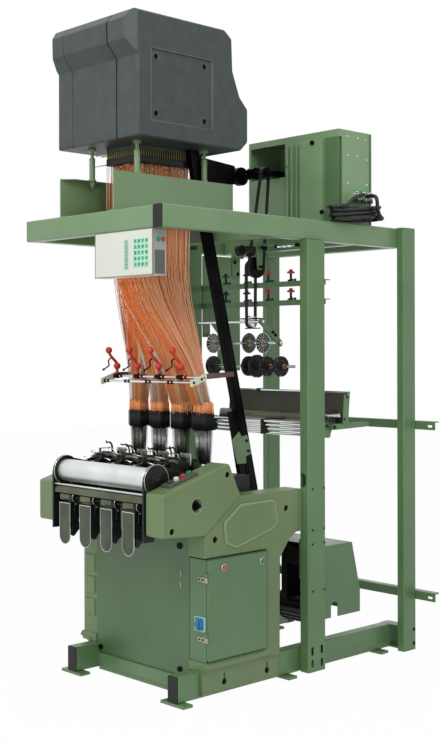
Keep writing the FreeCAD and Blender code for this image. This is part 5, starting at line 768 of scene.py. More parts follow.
def spokes(centre, inner, outer, count, half_width, half_depth, taper=1.0):
    """Radial blades round an X axis: one brick from radius inner to outer, turned count times."""
    w, v = half_width, half_width * taper
    flat = np.array([(-w, inner), (w, inner), (v, outer), (-v, outer)])
    a = full_turn(count)[:, None]
    y = flat[:, 0] * np.cos(a) - flat[:, 1] * np.sin(a)
    z = flat[:, 0] * np.sin(a) + flat[:, 1] * np.cos(a)
    low = np.stack([np.full_like(y, -half_depth), y, z], -1)
    points = np.stack([low, low + (2 * half_depth, 0, 0)], 1).reshape(-1, 3) + np.asarray(centre, float)
    pattern = np.array([[3, 2, 1, 0], [4, 5, 6, 7], [0, 1, 5, 4], [1, 2, 6, 5], [2, 3, 7, 6], [3, 0, 4, 7]])
    return points, [(np.arange(count)[:, None, None] * 8 + pattern).reshape(-1, 4)]


def lobed(at, profile, lobes=4, depth=0.16, sides=32, phase=math.pi / 4):
    """A star knob on an upright axis: at height h and angle a its radius is
    r(h) * (1 + depth * cos(lobes * (a - phase)))."""
    a = full_turn(sides)
    height, radius = np.array(profile, float).T
    r = radius[:, None] * (1 + depth * np.cos(lobes * (a - phase)))
    circles = np.stack([r * np.cos(a), r * np.sin(a), np.broadcast_to(height[:, None], r.shape)], -1)
    return skin(circles + np.asarray(at, float))


def bead(outline, radius, sides=8):
    """A round bead along a closed outline: a circle carried round it, its last ring joined to the
    first; at each point the circle stands square to the line."""
    line = np.asarray(outline, float)
    way = np.roll(line, -1, 0) - np.roll(line, 1, 0)
    way /= np.linalg.norm(way, axis=1)[:, None]
    out = np.zeros(3)
    out[np.ptp(line, axis=0).argmin()] = 1.0
    square = np.cross(way, out)
    a = full_turn(sides)[None, :, None]
    return skin(line[:, None] + radius * (np.cos(a) * square[:, None] + np.sin(a) * out), loop=True)


# ---- screws and plates on the frame
# Places on a side are (y, z) and places on a front are (x, z).
CASTING_X = {1: 412.0, -1: -448.0}          # outer faces of the side castings, right and left
CASTING_SCREWS = ((628, 778), (187, 683))
COVER_OUT = 8.0                             # how far the front covers stand out from the castings
COVER_SCREWS = ((-64, 744), (254, 957))
COVER_WELL = (76, 839)                      # the deep round well in each cover, with a shaft's end
SKIRT_SCREWS_Y = (254, 517)
POST_X = 447.0                              # outer faces of the middle posts
POST_SCREWS = [(y, z) for y in (767, 847) for z in (855, 667, 602, 386)]
POST_PLATES_Z = ((660, 862), (379, 609))
REAR_POST_X = {1: 472.0, -1: -505.0}
PANEL_SCREWS = ((246, 645, 14), (-309, 108, 12), (246, 110, 12))                    # x, z, radius
# On the rear cabinet's front: x, z, radius and height.
CABINET_FRONT_SCREWS = ((236, 2497, 12, 11), (280, 2157, 11, 9), (56, 2400, 4.5, 3), (267, 2512, 3, 1.5))
CABINET_SIDES = ((CABINET_SIDE_X, RIGHT), (-222, LEFT))
CABINET_SIDE_SCREWS = ((1091, 2520), (1165, 2519), (1225, 2517), (1091, 2428), (1165, 2432), (1233, 2420),
                       (1091, 2294), (1233, 2298), (1233, 2141), (1091, 2141))


def fasteners():
    """Black socket screws of the castings, covers, posts and panels, and zinc screws of the box."""
    black, plates = [], []
    shaft_end = [(0, 20), (6, 20), (8, 18), (8, 13), (18, 13), (19, 11), (19, 8.5), (29, 8.5), (30, 7.5)]
    for side, face in CASTING_X.items():
        way = (side, 0, 0)
        well = face + side * (COVER_OUT - 12)
        black += bolts(on_x(CASTING_SCREWS, face - side * 10.5), way, 11.0, 9.0)
        black += bolts(on_x(COVER_SCREWS, well), way, 10.5, 9.5)
        black.append(turned((well, *COVER_WELL), way, shaft_end, 24))
        black += bolts([(side * 384, y, 60) for y in SKIRT_SCREWS_Y], way, 13.0, 9.0)
        black += bolts(on_x(POST_SCREWS, side * (POST_X + 0.8)), way, 4.6, 3.0)
        plates += [slab(box_of(747, 853, *z), "x", *sorted((side * (POST_X - 0.5), side * (POST_X + 0.9))),
                        radius=4, bevel=0.4) for z in POST_PLATES_Z]
        black += bolts([(REAR_POST_X[side], 1489, z) for z in (101, 31)], way, 8.0, 4.0)
    black += [bolt((x, 134, z), FRONT, r, 9.0) for x, z, r in PANEL_SCREWS]
    black += [bolt((x, 1022, z), FRONT, r, h) for x, z, r, h in CABINET_FRONT_SCREWS]
    bright = [bolt((x, y, z), way, 4.2, 2.6, 10) for y, z in CABINET_SIDE_SCREWS for x, way in CABINET_SIDES]
    bright += [bolt((x, 1265, z), BACK, 4.5, 2.6, 10) for x in (-205, 80, 368) for z in (2120, 2330, 2530)]
    mesh_piece("black_screws", black, black_oxide)
    mesh_piece("cabinet_screws", bright, zinc)
    mesh_piece("post_cover_plates", plates, green_posts)
    mesh_piece("cabinet_flange", bricks([(384.5, 389, 1253, 1265, 2099, 2547)], 0.5), green_dark)


# ---- warp tray
TRAY_X = (-332.0, 436.0)
TRAY_LEAN = 0.09                            # millimetres back for each millimetre up
TRAY_FOOT_Z, TRAY_TOP_Z = 1146.0, 1296.0
TRAY_END = 5.0
REST_BEAM = (1007.0, 1167.0, 25.0)          # Y, Z and radius
SIDE_PLATE_X, SIDE_PLATE_Y = 400.0, 857.0
LEVER_AXLE = (936, 1131)


def leaning(points):
    """Moves (y, z) points back in proportion to their height."""
    return [(y + TRAY_LEAN * (z - TRAY_FOOT_Z), z) for y, z in points]


def warp_tray():
    """The dark box of the tray, its bright edge bars, green ends and side plates, and rest beam."""
    box = slab(leaning(box_of(991, 1023, 1190, 1291)), "x", *TRAY_X, bevel=1.5)
    mesh_piece("warp_tray_box", [box], tray_grey, stands_for=["warp_tray"])
    end = leaning(box_of(987, 1027, TRAY_FOOT_Z, TRAY_TOP_Z))
    greens = [slab(end, "x", *sorted((x, x + side * TRAY_END)), radius=4)
              for x, side in zip(TRAY_X, (-1, 1))]
    y0, (beam_y, beam_z, beam_r) = SIDE_PLATE_Y, REST_BEAM
    plate = [(y0, 1154), (y0, 1085), (y0 + 78, 1085), (y0 + 92, 1115), (beam_y, 1121),
             (beam_y + beam_r, beam_z - 14), (beam_y + 14, beam_z + 22), (beam_y - 14, beam_z + 22),
             (beam_y - 22, 1148), (968, 1154)]
    for side in (-1, 1):
        greens.append(slab(plate, "x", *sorted((side * SIDE_PLATE_X, side * (SIDE_PLATE_X + 6)))))
        greens.append(brick(sorted((side * SIDE_PLATE_X, side * 440)), (y0, y0 + 6), (1085, 1154)))
    greens.append(turned((SIDE_PLATE_X, *LEVER_AXLE), RIGHT, [(0, 14), (22.7, 14), (23.7, 13)]))
    mesh_piece("warp_tray_ends", greens, green_posts)
    bars = bricks([(*TRAY_X, y, y + 7, 1289, 1297) for y in (998.0, 1012.0)], 1.5)
    mesh_piece("warp_tray_bars", bars, chrome)
    beam = rod((-SIDE_PLATE_X, beam_y, beam_z), (SIDE_PLATE_X, beam_y, beam_z), beam_r, 32)
    mesh_piece("rest_beam", [beam], olive_wood)
    black = [rod((423.5, *LEVER_AXLE), (440.2, *LEVER_AXLE), 8)]
    black += bricks([(-140, -118, 994, 1022, 1286, 1300)], 1.5)
    black += bricks([(x, x + 14, 912, 952, 1078, 1152) for x in (-395, -30, 340)], 1.5)
    black += bricks([(-30, 80, 948, 974, 1150, 1156)], 1) + bricks([(-395, -345, 975, 1035, 1130, 1158)], 2)
    for x, side in zip(TRAY_X, (-1, 1)):
        way = (side, 0, 0)
        black += bolts(on_x([(1008, 1284), (1019, 1270), (998, 1166)], x + side * TRAY_END), way, 6, 4)
        black += bolts(on_x([(880, 1137), (912, 1137)], side * (SIDE_PLATE_X + 6)), way, 7, 4)
    black.append(turned((408, beam_y, beam_z), RIGHT, [(0, 30), (16, 30), (19, 26), (19, 12), (15, 10)], 28))
    stop = [(870, 1160), (980, 1150), (980, 1200), (930, 1215), (880, 1205)]
    black.append(slab(stop, "x", 408, 414, radius=6))
    mesh_piece("warp_tray_blocks", black, black_plastic)
    middles = [(418 + 2.2 * k, 895 + 9.0 * k, 1186 - 2 * (k % 2)) for k in range(9)]
    coils = rings(middles, (0.5, 1, 0), 8, 1.6, 14, 6)
    mesh_piece("warp_stop_springs", coils + [rod((411, 886, 1190), (436, 975, 1178), 3.0)], zinc)


# ---- rods and tension levers
LEVER_X = [x - 28.0 for x in HEAD_X]
PLATE_X = ((-299.0, -291.0), (325.0, 333.0))            # the plates at the rods' ends
LEVER_NECK = [(0, 0, 46), (0, -6, 66), (0, -34, 88), (0, -46, 104), (0, -50, 120)]     # from the rod
LEVER_CRANK = [(0, -28, 84), (-20, -30, 80), (-30, -30, 69), (-20, -30, 49), (-34, -30, 42),
               (-62, -30, 30)]
LEVER_KNOB = [(-13, 6), (-12, 11), (-6, 15), (0, 15.5), (6, 15), (11, 10), (13, 6)]
STRAPS = (((-295.0, 211.0), (-420.0, 738.5)), ((329.0, 211.0), (44.2, 657.1)))         # ends (x, y)
STRAP_Z = (1367.1, 1391.1)


def levers():
    """The rocking rod with red levers and black cranks, and the fixed rod, its plates and straps."""
    y, z = LEVER_ROD_Y, LEVER_ROD_Z
    red, black = [], []
    for x in LEVER_X:
        at = np.array((x, y, z))
        red += [turned(at, UP, [(0, 7), (36, 7), (40, 9)], 14), ball(at + (0, 0, 46), 16.5),
                bent(at + LEVER_NECK, 7.0, 10, 5, (1.1, 1.0, 0.9, 1.1)),
                turned(at + LEVER_NECK[-1], FRONT, LEVER_KNOB, 20)]
        black += [bent(at + LEVER_CRANK, 3.4, 8, 4), ball(at + (-64, -30, 29), 6.0, 12, 7),
                  turned((x - 11, y, z), RIGHT, [(0, 11), (1, 12), (21, 12), (22, 11)])]
        black += [turned((x + d, y, z), RIGHT, [(0, 8.5), (8, 8.5)], 14) for d in (-24, 30)]
    mesh_piece("tension_lever_arms", red, red_enamel, body="levers", stands_for=["tension_levers"])
    mesh_piece("tension_lever_cranks", black, black_oxide, body="levers")
    mesh_piece("lever_rod", [rod((PLATE_X[0][0], y, z), (PLATE_X[1][1], y, z), 5)], chrome, body="levers")
    y, z = LOWER_ROD_Y, LOWER_ROD_Z
    fixed = rod((ROD_LEFT_X, y, z), (ROD_RIGHT_X, y, z), 5)
    mesh_piece("fixed_rod", [fixed], chrome, stands_for=["harness_rods"])
    collar = [(0, 8), (9, 8)]
    black = [turned((x + d, y, z), RIGHT, collar, 14) for x in LEVER_X for d in (-14, 10)]
    plate = [(123, 1332.9), (215, 1364.1), (215, 1394.1), (123, 1362.9)]
    mesh_piece("rod_end_plates", [slab(plate, "x", a, b, radius=5) for a, b in PLATE_X], cast_pale)
    for x, way in ((PLATE_X[1][1], RIGHT), (PLATE_X[0][0], LEFT)):
        black += bolts(on_x([(138, 1353), (184, 1368)], x), way, 6, 3)
    mesh_piece("rod_collars", black, black_oxide)
    straps = []
    for start, end in np.array(STRAPS):
        way = (end - start) / np.linalg.norm(end - start)
        aside = np.array([-way[1], way[0]]) * 2
        corners = [start + aside, end + aside, end - aside, start - aside]
        straps.append(slab(corners, "z", *STRAP_Z, bevel=0.5))
    mesh_piece("rod_straps", straps, leather)


# ---- feed discs and knobs
SILVER, BLACK = (915.0, 1528.0), (915.0, 1413.0)        # axes (y, z) of the two disc shafts
SILVER_X = (-372.0, -112.0, -14.0)
BLACK_X = ((-372.0, 50.0), (-113.0, 50.0), (-56.0, 57.0), (13.0, 50.0), (108.0, 50.0))     # and radius
SHAFT_LEFT_X = -399.0
KNOB_Y, KNOB_FEET = 879.3, (1732.0, 1822.0)
KNOB_PROFILE = [(37.2, 9), (38.5, 14.8), (41, 16.4), (45, 16.4), (47.5, 13), (49, 8), (53, 8.4), (56.5, 7),
                (58, 3.5)]
SLIDE_HANGERS_X = (100, 186, 318)


def feed_discs():
    """Ribbed silver discs with brass hubs, and below them stepped black discs, on their shafts."""
    ribs, backs, hubs = [], [], []
    for x in SILVER_X:
        ribs += [spokes((x, *SILVER), 13, 49, 16, 0.7, 3.8, 1.9), ring((x, *SILVER), RIGHT, 50, 1.5, 36)]
        backs.append(turned((x - 1.2, *SILVER), RIGHT, [(0, 49), (2.4, 49)], 36))
        hubs.append(turned((x - 10, *SILVER), RIGHT,
                           [(0, 9), (1, 10), (5, 10), (6, 14), (14, 14), (15, 10), (20, 9)], 20))
    hubs.append(hexagon((104.2, *SILVER), RIGHT, 12, 7))
    shaft = rod((SHAFT_LEFT_X, *SILVER), (112, *SILVER), 7)
    ride = {"body": "silver_discs"}
    mesh_piece("silver_disc_ribs", ribs, chrome, stands_for=["feed_shaft_upper"], slot="steel", **ride)
    mesh_piece("silver_disc_backs", backs, machine_black, **ride)
    mesh_piece("silver_disc_hubs", hubs, brass, **ride)
    mesh_piece("silver_disc_shaft", [shaft], chrome, slot="steel", **ride)
    discs, pins, hubs = [], [], []
    for x, r in BLACK_X:
        rim = [(-6, 17), (0, 19), (3, 21), (3, r - 9), (0, r - 7), (0, r - 1), (1, r), (15, r), (16, r - 1),
               (16, r - 7), (13, r - 9), (13, 21), (16, 19), (22, 17)]
        discs += [turned((x - 8, *BLACK), RIGHT, rim, 36), spokes((x, *BLACK), 20, r - 8, 12, 1.2, 6.5)]
        for a in full_turn(6) + 0.3:
            pin = (x + 8, BLACK[0] + (r - 4) * math.cos(a), BLACK[1] + (r - 4) * math.sin(a))
            pins.append(bolt(pin, RIGHT, 1.8, 1.5, 6))
        if x > 0:
            hubs.append(turned((x + 14, *BLACK), RIGHT, [(0, 12), (8, 12), (9, 10), (14, 9)], 6))
    shaft = rod((SHAFT_LEFT_X, *BLACK), (202, *BLACK), 7)
    ride = {"body": "black_discs"}
    mesh_piece("black_discs_body", discs, machine_black, stands_for=["feed_shaft_lower"], **ride)
    mesh_piece("black_disc_pins", pins, zinc, **ride)
    mesh_piece("black_disc_hubs", hubs, brass, **ride)
    mesh_piece("black_disc_shaft", [shaft], steel, **ride)


def feed_knobs():
    """Star knobs on black stems along the two feed bars, red ones to the right."""
    red, black = [], []
    for x in (value + 2 for value in HEAD_X):
        for z in KNOB_FEET:
            (red if x > 0 else black).append(lobed((x, KNOB_Y, z), KNOB_PROFILE))
            black.append(rod((x, KNOB_Y, z), (x, KNOB_Y, z + 38), 6))
            black += bricks([(x - 13, x - 2, KNOB_Y - 9, KNOB_Y + 5, z, z + 9),
                             (x + 3, x + 12, KNOB_Y - 9, KNOB_Y + 5, z, z + 13),
                             (x + 26, x + 34, KNOB_Y - 8, KNOB_Y + 2, z, z + 12)])
    mesh_piece("feed_knobs_red", red, red_enamel)
    mesh_piece("feed_knobs_black", black, black_plastic)


def feed_brackets():
    """Bolts, plates and slide rods near the feed frame; the idler's beam carries the slide rods."""
    black = bolts([(104, 862, 1580), (104, 880, 1566)], RIGHT, 8, 6)
    black += bricks([(-30, 96, 772, 806, 1642, 1648), (0, 78, 774, 804, 1596, 1601)], 1)
    boss = [(0, 10), (9, 10), (10, 8)]
    black += [turned((-393.5, y, z), RIGHT, boss, 14) for y, z in ((1085, 1955), (1107, 1893))]
    mesh_piece("feed_fixings", black, black_oxide)
    side = [(1066, 1976), (1066, 1880), (1124, 1874), (1124, 1976)]
    mesh_piece("feed_side_bracket", [slab(side, "x", -394.5, -388, 6)], green_dark)
    bright = [rod((x, 812, z), (104, 812, z), 4) for x, z in ((-60, 1992), (-20, 1983))]
    bright += [hexagon((200 + 34 * k, 800, 1986), RIGHT, 9, 18) for k in range(3)]
    mesh_piece("feed_slide_rods", bright + [rod((190, 800, 1986), (320, 800, 1986), 5)], chrome)
    hangers = bricks([(x, x + 8, 790, 822, 1976, 2000) for x in SLIDE_HANGERS_X], 1)
    mesh_piece("feed_slide_hangers", hangers, black_oxide)


# ---- belt guard
def guard_y(z):
    """Middle of the belt guard at a height: it leans back by 0.243 for each millimetre down."""
    return 495.0 + 0.243 * (2046.0 - z)


def guard_fittings():
    """Raised edges along the guard, the second guard in front of it, and the green bracket."""
    low, high = 565.0, 1995.0
    strips = []
    for off in (-24.0, -9.0, 24.0):
        edge = [(guard_y(z) + off + d, z) for z, d in ((low, -2), (low, 2), (high, 2), (high, -2))]
        strips.append(slab(edge, "x", 41.5, 43.6, bevel=0.4))
    front = [(guard_y(z) + off, z - drop)
             for z, off, drop in ((870.0, -72, 0), (870.0, -27, 0), (1205.0, -27, 0), (1205.0, -60, 6))]
    strips.append(slab(front, "x", 14, 40, radius=4, bevel=1.5))
    mesh_piece("guard_edges", strips, black_oxide)
    plate = [(641, 1063), (690, 1104), (707, 1079), (744, 1085), (773, 993), (735, 981), (738, 948),
             (677, 949)]
    mesh_piece("guard_bracket", [slab(plate, "x", 43, 46.5, bevel=0.6)], green)
    screws = bolts([(46.5, 738, 1058), (46.5, 750, 1008)], RIGHT, 7, 5)
    screws += bolts([(42, guard_y(z), z) for z in (1890, 1750, 1180)], RIGHT, 4, 3)
    mesh_piece("guard_bolts", screws, black_oxide)


# ---- rims of the castings
PAD_RIM = 2.0                               # how far the raised field's rim stands out
ARM_PAD = [(237, 752), (337, 822), (548, 826), (572, 716), (536, 693), (312, 634), (246, 660)]


def casting_rims():
    """Rounded rims of the raised field and of the screws' recesses in the castings and covers, in a paler
    green that is a painted highlight.
    """
    parts = []
    pad = shrunk(rounded(ARM_PAD, 16.0, 7), 4.5)
    for side, face in CASTING_X.items():
        way = (side, 0, 0)
        cover = face + side * COVER_OUT
        parts.append(bead(on_x(pad, face + side * PAD_RIM), 6.2, 12))
        parts += rings(on_x(CASTING_SCREWS, face), way, 17.5, 2.2, 28)
        parts += rings(on_x(COVER_SCREWS, cover), way, 16.5, 2.0, 28)
        parts.append(ring((cover, *COVER_WELL), way, 33.0, 2.6, 40))
        parts += rings([(side * 385.6, y, 61) for y in SKIRT_SCREWS_Y], way, 15.5, 1.6, 24)
    mesh_piece("casting_rims", parts, cast_rim_highlight)


# ---- control box
BOX_X, BOX_Z = (-22.0, 368.0), (1805.7, 1999.7)
BOX_RIM_Y = (-120.4, -117)
KEY_FRONT_Y = -120.2
KEY_COLUMNS, KEY_ROWS, KEY_PITCH = 4, 5, 24.4
FIRST_KEY = (254.3, 1853.0)
BAR_COUNT, BAR_PITCH, FIRST_BAR_Z = 20, 6.2, 1838.5


def control_box_face():
    """The keypad's mint keys with dark marks, the green bars beside it, the rim and the side."""
    keys, marks = [], []
    film, ink = (KEY_FRONT_Y - 0.7, KEY_FRONT_Y + 0.5), (KEY_FRONT_Y - 1.0, KEY_FRONT_Y)
    for i in range(KEY_COLUMNS):
        for j in range(KEY_ROWS):
            x, z = FIRST_KEY[0] + KEY_PITCH * i, FIRST_KEY[1] + KEY_PITCH * j
            keys.append(brick((x - 10, x + 10), film, (z - 9.5, z + 9.5), 0.3))
            half, tall = 2.0 + (i + j) % 3, 4.0 + (2 * i + j) % 3
            marks.append(brick((x - half, x + half), ink, (z - tall, z + tall), 0.1))
            marks.append(brick((x - half - 2, x + half + 1), ink, (z + tall - 2, z + tall), 0.1))
    bars = []
    for k in range(BAR_COUNT):
        z = FIRST_BAR_Z + BAR_PITCH * k
        bars.append(brick((184 if k % 3 else 181, 206), film, (z - 1.9, z + 1.9), 0.2))
    mesh_piece("keypad_keys", keys, keypad_green)
    mesh_piece("keypad_marks", marks, key_dark)
    mesh_piece("keypad_bars", bars, bar_green)
    (x0, x1), (z0, z1) = BOX_X, BOX_Z
    rim = bricks([(x0, x1, *BOX_RIM_Y, z0, z0 + 4), (x0, x1, *BOX_RIM_Y, z1 - 3, z1),
                  (x0, x0 + 3, *BOX_RIM_Y, z0, z1), (x1 - 5, x1, *BOX_RIM_Y, z0, z1)])
    mesh_piece("control_box_rim", rim, box_rim_grey)
    mesh_piece("control_box_side", bricks([(x1 - 1, x1 + 0.8, -116, -52, z0 + 2, z1 - 2)], 0.4), box_grey)
    panel = bricks([(x1, x1 + 1.6, -110, -57, z0 + 6, z0 + 104)], 0.5)
    mesh_piece("control_box_side_panel", panel, box_dark_grey)


# ---- electrical cabinet
DOOR_X = 424.8
HINGE_AT = (418.55, 128.0)
HINGES_Z = (252.0, 507.0)
DOOR_LAMPS = {227: red_lens, 462: green_lens}    # by their Y
LAMP_Z = 562
VENTS_Z = ((458.0, 494.0), (506.0, 542.0))


def door_fittings():
    """Zinc hinges, the pale plate behind the switch, and the door's two lamps in chrome bezels."""
    fixed, screws = [], []
    for low in HINGES_Z:
        fixed.append(turned((*HINGE_AT, low - 0.5), UP, [(0, 7.3), (1, 7.9), (19.5, 7.9), (20.4, 7.3)], 18))
        fixed += bricks([(366, 386, 129.4, 131.4, low, low + 20),
                         (389, 412, 129.4, 131.4, low - 2, low + 22)])
        screws += bolts([(x, 129.6, low + 10) for x in (375, 396)], FRONT, 4.6, 2.4, 10)
    mesh_piece("hinges", fixed, hinge_zinc)
    mesh_piece("hinge_screws", screws, black_oxide)
    mesh_piece("switch_plate", bricks([(346.6, 409.4, 125.8, 134, 295.6, 358.4)], 1.2), switch_plate_blue)
    mesh_piece("switch_field", bricks([(351, 405, 125.66, 127, 300, 354)], 0.2), switch_blue)
    bezel = [(0, 15.5), (2, 15.5), (4, 14.5), (4.6, 13.2), (3.6, 12.4)]
    bezels = [turned((DOOR_X - 1, y, LAMP_Z), RIGHT, bezel, 28) for y in DOOR_LAMPS]
    mesh_piece("lamp_bezels", bezels, chrome, body="door", stands_for=["door_lamps"])
    cap = [(0, 12.5), (4, 12.5), (7, 11.4), (9, 8.6), (10.3, 4)]
    for name, (y, clear) in zip(("lamp_red", "lamp_green"), DOOR_LAMPS.items()):
        mesh_piece(name, [turned((DOOR_X + 2, y, LAMP_Z), RIGHT, cap)], clear, body="door")
    vents = []
    for z0, z1 in VENTS_Z:
        lip = [(250.2, z0), (254.6, z0 + 5), (255.4, (z0 + z1) / 2), (254.6, z1 - 5), (250.2, z1)]
        vents.append(slab(lip, "y", 131.6, 134.6, radius=1, bevel=0.3))
    mesh_piece("vent_lips", vents, hinge_zinc)


# ---- head
COVER_RIGHT_X = 178.0
COVER_WELLS = [(y, z) for y in (66, 352) for z in (2524, 2771)]
PIN_Z = (2368, 2402)
BEAD_PROFILE = [(-3, 1.2), (-1.5, 2.6), (1.5, 2.6), (3, 1.2)]
BEADS_Z = (2298, 2334)


def head_fittings():
    """Screws of the cover's side, and the hook box's band, pins, black skirt, ring and beads."""
    mesh_piece("cover_screws", bolts(on_x(COVER_WELLS, COVER_RIGHT_X - 15), RIGHT, 10, 6), black_oxide)
    panel = on_x(rounded(box_of(32, 396, 2490, 2805), 8.0), COVER_RIGHT_X - 0.6)
    rims = rings(on_x(COVER_WELLS, COVER_RIGHT_X - 7), RIGHT, 14.5, 1.8, 28)
    # The rims round the screw wells and the bead round the side panel are a lighter grey than the cover: a
    # painted highlight.
    mesh_piece("cover_rims", rims + [bead(panel, 2.0)], head_highlight_grey)
    mesh_piece("hook_box_band", bricks([(-206, 11, 89, 431, 2401, 2418)], 1), head_grey)
    skirt = bricks([(-206.5, 11.5, 88.5, 431.5, 2337.6, 2369)], 1.5)
    mesh_piece("hook_box_skirt", skirt, machine_black, slot="black_plastic")
    feet = [(11.6, y) for y in np.linspace(102, 420, 24)] + [(x, 88.6) for x in np.linspace(-198, 2, 16)]
    pins = [rod((*foot, PIN_Z[0]), (*foot, PIN_Z[1]), 2.0, 6, 0.4) for foot in feet]
    mesh_piece("hook_pins", pins, pin_brass)
    mesh_piece("hook_box_ring", [ring((13.5, 420, 2341), RIGHT, 12, 3.6, 32, 10)], chrome)
    places = [(1.5, y, z) for y, z in zip(rng.uniform(104, 416, 46), rng.uniform(*BEADS_Z, 46))]
    places += [(x, 98.5, z) for x, z in zip(rng.uniform(-194, -2, 22), rng.uniform(*BEADS_Z, 22))]
    beads = [turned(at, UP, BEAD_PROFILE, 6) for at in places]
    mesh_piece("cord_beads", beads, cast_pale, slot="panel_white")
    strips = bricks([(-300, -204, y, y + 8, 2392, 2396) for y in (96, 130)])
    mesh_piece("hook_box_strips", strips + [rod((-304, 96, 2345), (-200, 96, 2345), 3)], zinc)
    loose = np.column_stack([np.linspace(-216, -206, 5), np.linspace(96, 108, 5)])
    mesh_piece("loose_cords", [strands([level(loose, 2345.0), level(loose, 2098.0)], 0.9)], orange, sharp=180,
               shade=np.repeat([0.97, 0.5, 0.2, 0.97, 0.6], 6))


# ---- take-up
CLOTH_Y, CLOTH_Z = -93.0, 834.0
ROLLER_AXIS = (-50, 946)
CHUTE_OFF, CHUTE_HALF, CHUTE_FRONT_Y = -4, 39.0, -120.2
CHUTE_ROUND_Z, CHUTE_TOP_Z = 664.0, 809.0
CLOTH_SHELL = [(-96, 886), (-105, 884), (-112, 877), (-115.5, 866), (-115.5, 852), (-112.5, 852),
               (-112.5, 865), (-109.5, 874), (-104, 880), (-96, 882)]


def takeup_fittings():
    """Olive sleeves on the cloth rollers, bright rims on the chutes, and screws of the arms."""
    y, z = CLOTH_Y, CLOTH_Z
    sleeves = [rod((x - 49.6, y, z), (x + 20.2, y, z), 21.4, 28) for x in HEAD_X]
    mesh_piece("cloth_roller_sleeves", sleeves, roller_olive, body="cloth_roller_shaft")
    a = np.linspace(0, -math.pi, 13)
    foot = np.stack([CHUTE_HALF * np.cos(a), CHUTE_HALF * np.sin(a)], 1) + (0, CHUTE_ROUND_Z)
    outline = np.concatenate([[(CHUTE_HALF, CHUTE_TOP_Z)], foot, [(-CHUTE_HALF, CHUTE_TOP_Z)]])
    outline = np.insert(outline, 1, CHUTE_FRONT_Y, axis=1)
    rims, screws, black = [], [], []
    for x in HEAD_X:
        line = outline + (x + CHUTE_OFF, 0, 0)
        rims += [carried(line, 1.3, 6), rod(line[0], line[-1], 1.6, 6)]
        screws += bolts([(x + 32.7, y - 12, z + 12), (x + 32.7, y + 8, z - 30)], RIGHT, 4.5, 3, 8)
        black += [brick((x + 20, x + 33.2), (y - 21, y - 4), (z - 60, z + 4), 2),
                  rod((x + 38, y - 4, z - 70), (x + 38, y - 4, z + 2), 3.4),
                  brick((x + 18, x + 40), (y - 6, y + 12), (z - 92, z - 78), 1.5)]
    mesh_piece("cloth_shell", [slab(CLOTH_SHELL, "x", -330, 294, bevel=0.3)], roller_olive)
    cap = [(0, 21), (2, 21), (3, 20), (3, 8), (6, 8), (7, 6.5)]
    caps = [turned((x + 41.6, y, z), RIGHT, cap, 24) for x in HEAD_X]
    mesh_piece("arm_caps", caps, machine_black, slot="machine_black")
    mesh_piece("arm_cap_rims", rings([(x + 43.6, y, z) for x in HEAD_X], RIGHT, 20.6, 1.1, 32, 6), zinc)
    mesh_piece("chute_rims", rims, chrome, slot="steel")
    mesh_piece("arm_screws", screws, zinc)
    hub = [(0, 30), (3, 30), (4, 28), (4, 12), (9, 12), (10, 10)]
    black.append(turned((306, *ROLLER_AXIS), RIGHT, hub, 28))
    mesh_piece("takeup_blocks", black, machine_black, slot="machine_black")
    # Zinc rings on the black end plates' rims: painted highlight, where those rims catch the light.
    ends = [(x, *ROLLER_AXIS) for x in (306, 296, -332, -342)]
    mesh_piece("takeup_rims", rings(ends, RIGHT, 67, 1.6, 56), zinc)
    mesh_piece("rod_screws", bolts([(x, -114, 892) for x in (-150, 0, 150)], FRONT, 4, 4, 8), chrome)


# ---- weaving heads
# Places on one weaving head: X from its middle, then Y and Z. A block has its width, depth and
# height besides.
HEAD_BLOCKS = ((-40, 40, 960, 16, 44, 40), (-12, 60, 978, 22, 34, 26), (20, 48, 975, 18, 60, 22),
               (38, 110, 960, 14, 70, 48), (-44, 120, 962, 14, 60, 52), (-18, 128, 978, 20, 26, 36),
               (8, 150, 970, 26, 22, 44), (-30, 214, 940, 22, 30, 74), (24, 216, 940, 20, 34, 66),
               (0, 246, 930, 60, 18, 60))
HEAD_BARS = ((66, 1006), (128, 1022), (236, 1010))
HEAD_STUDS = ((-22, 84, 996), (14, 96, 996), (34, 60, 1000), (-4, 190, 1000))
HEAD_SCREWS = ((-40, 52, 1000), (-12, 70, 1004), (20, 60, 997), (38, 124, 1008), (-44, 134, 1014),
               (8, 160, 1014))
LEFT_HOOK = [(-34, 176, 1000), (-34, 176, 1046), (-34, 166, 1062), (-36, 150, 1056), (-30, 140, 1066)]
RIGHT_HOOK = [(30, 226, 990), (30, 224, 1044), (22, 214, 1056), (4, 208, 1050), (-8, 204, 1054)]
FRONT_LOOP = [(26, 70, 1012), (40, 52, 1026), (26, 30, 1034), (2, 24, 1036), (-14, 36, 1028),
              (-6, 56, 1016)]
REAR_LOOP = [(-20, 140, 1016), (-22, 142, 1048), (-6, 146, 1044), (10, 150, 1036), (12, 152, 1012)]
LOW_LOOP = [(-44, 20, 1002), (-30, 8, 1010), (-8, 6, 1008), (6, 12, 1002)]


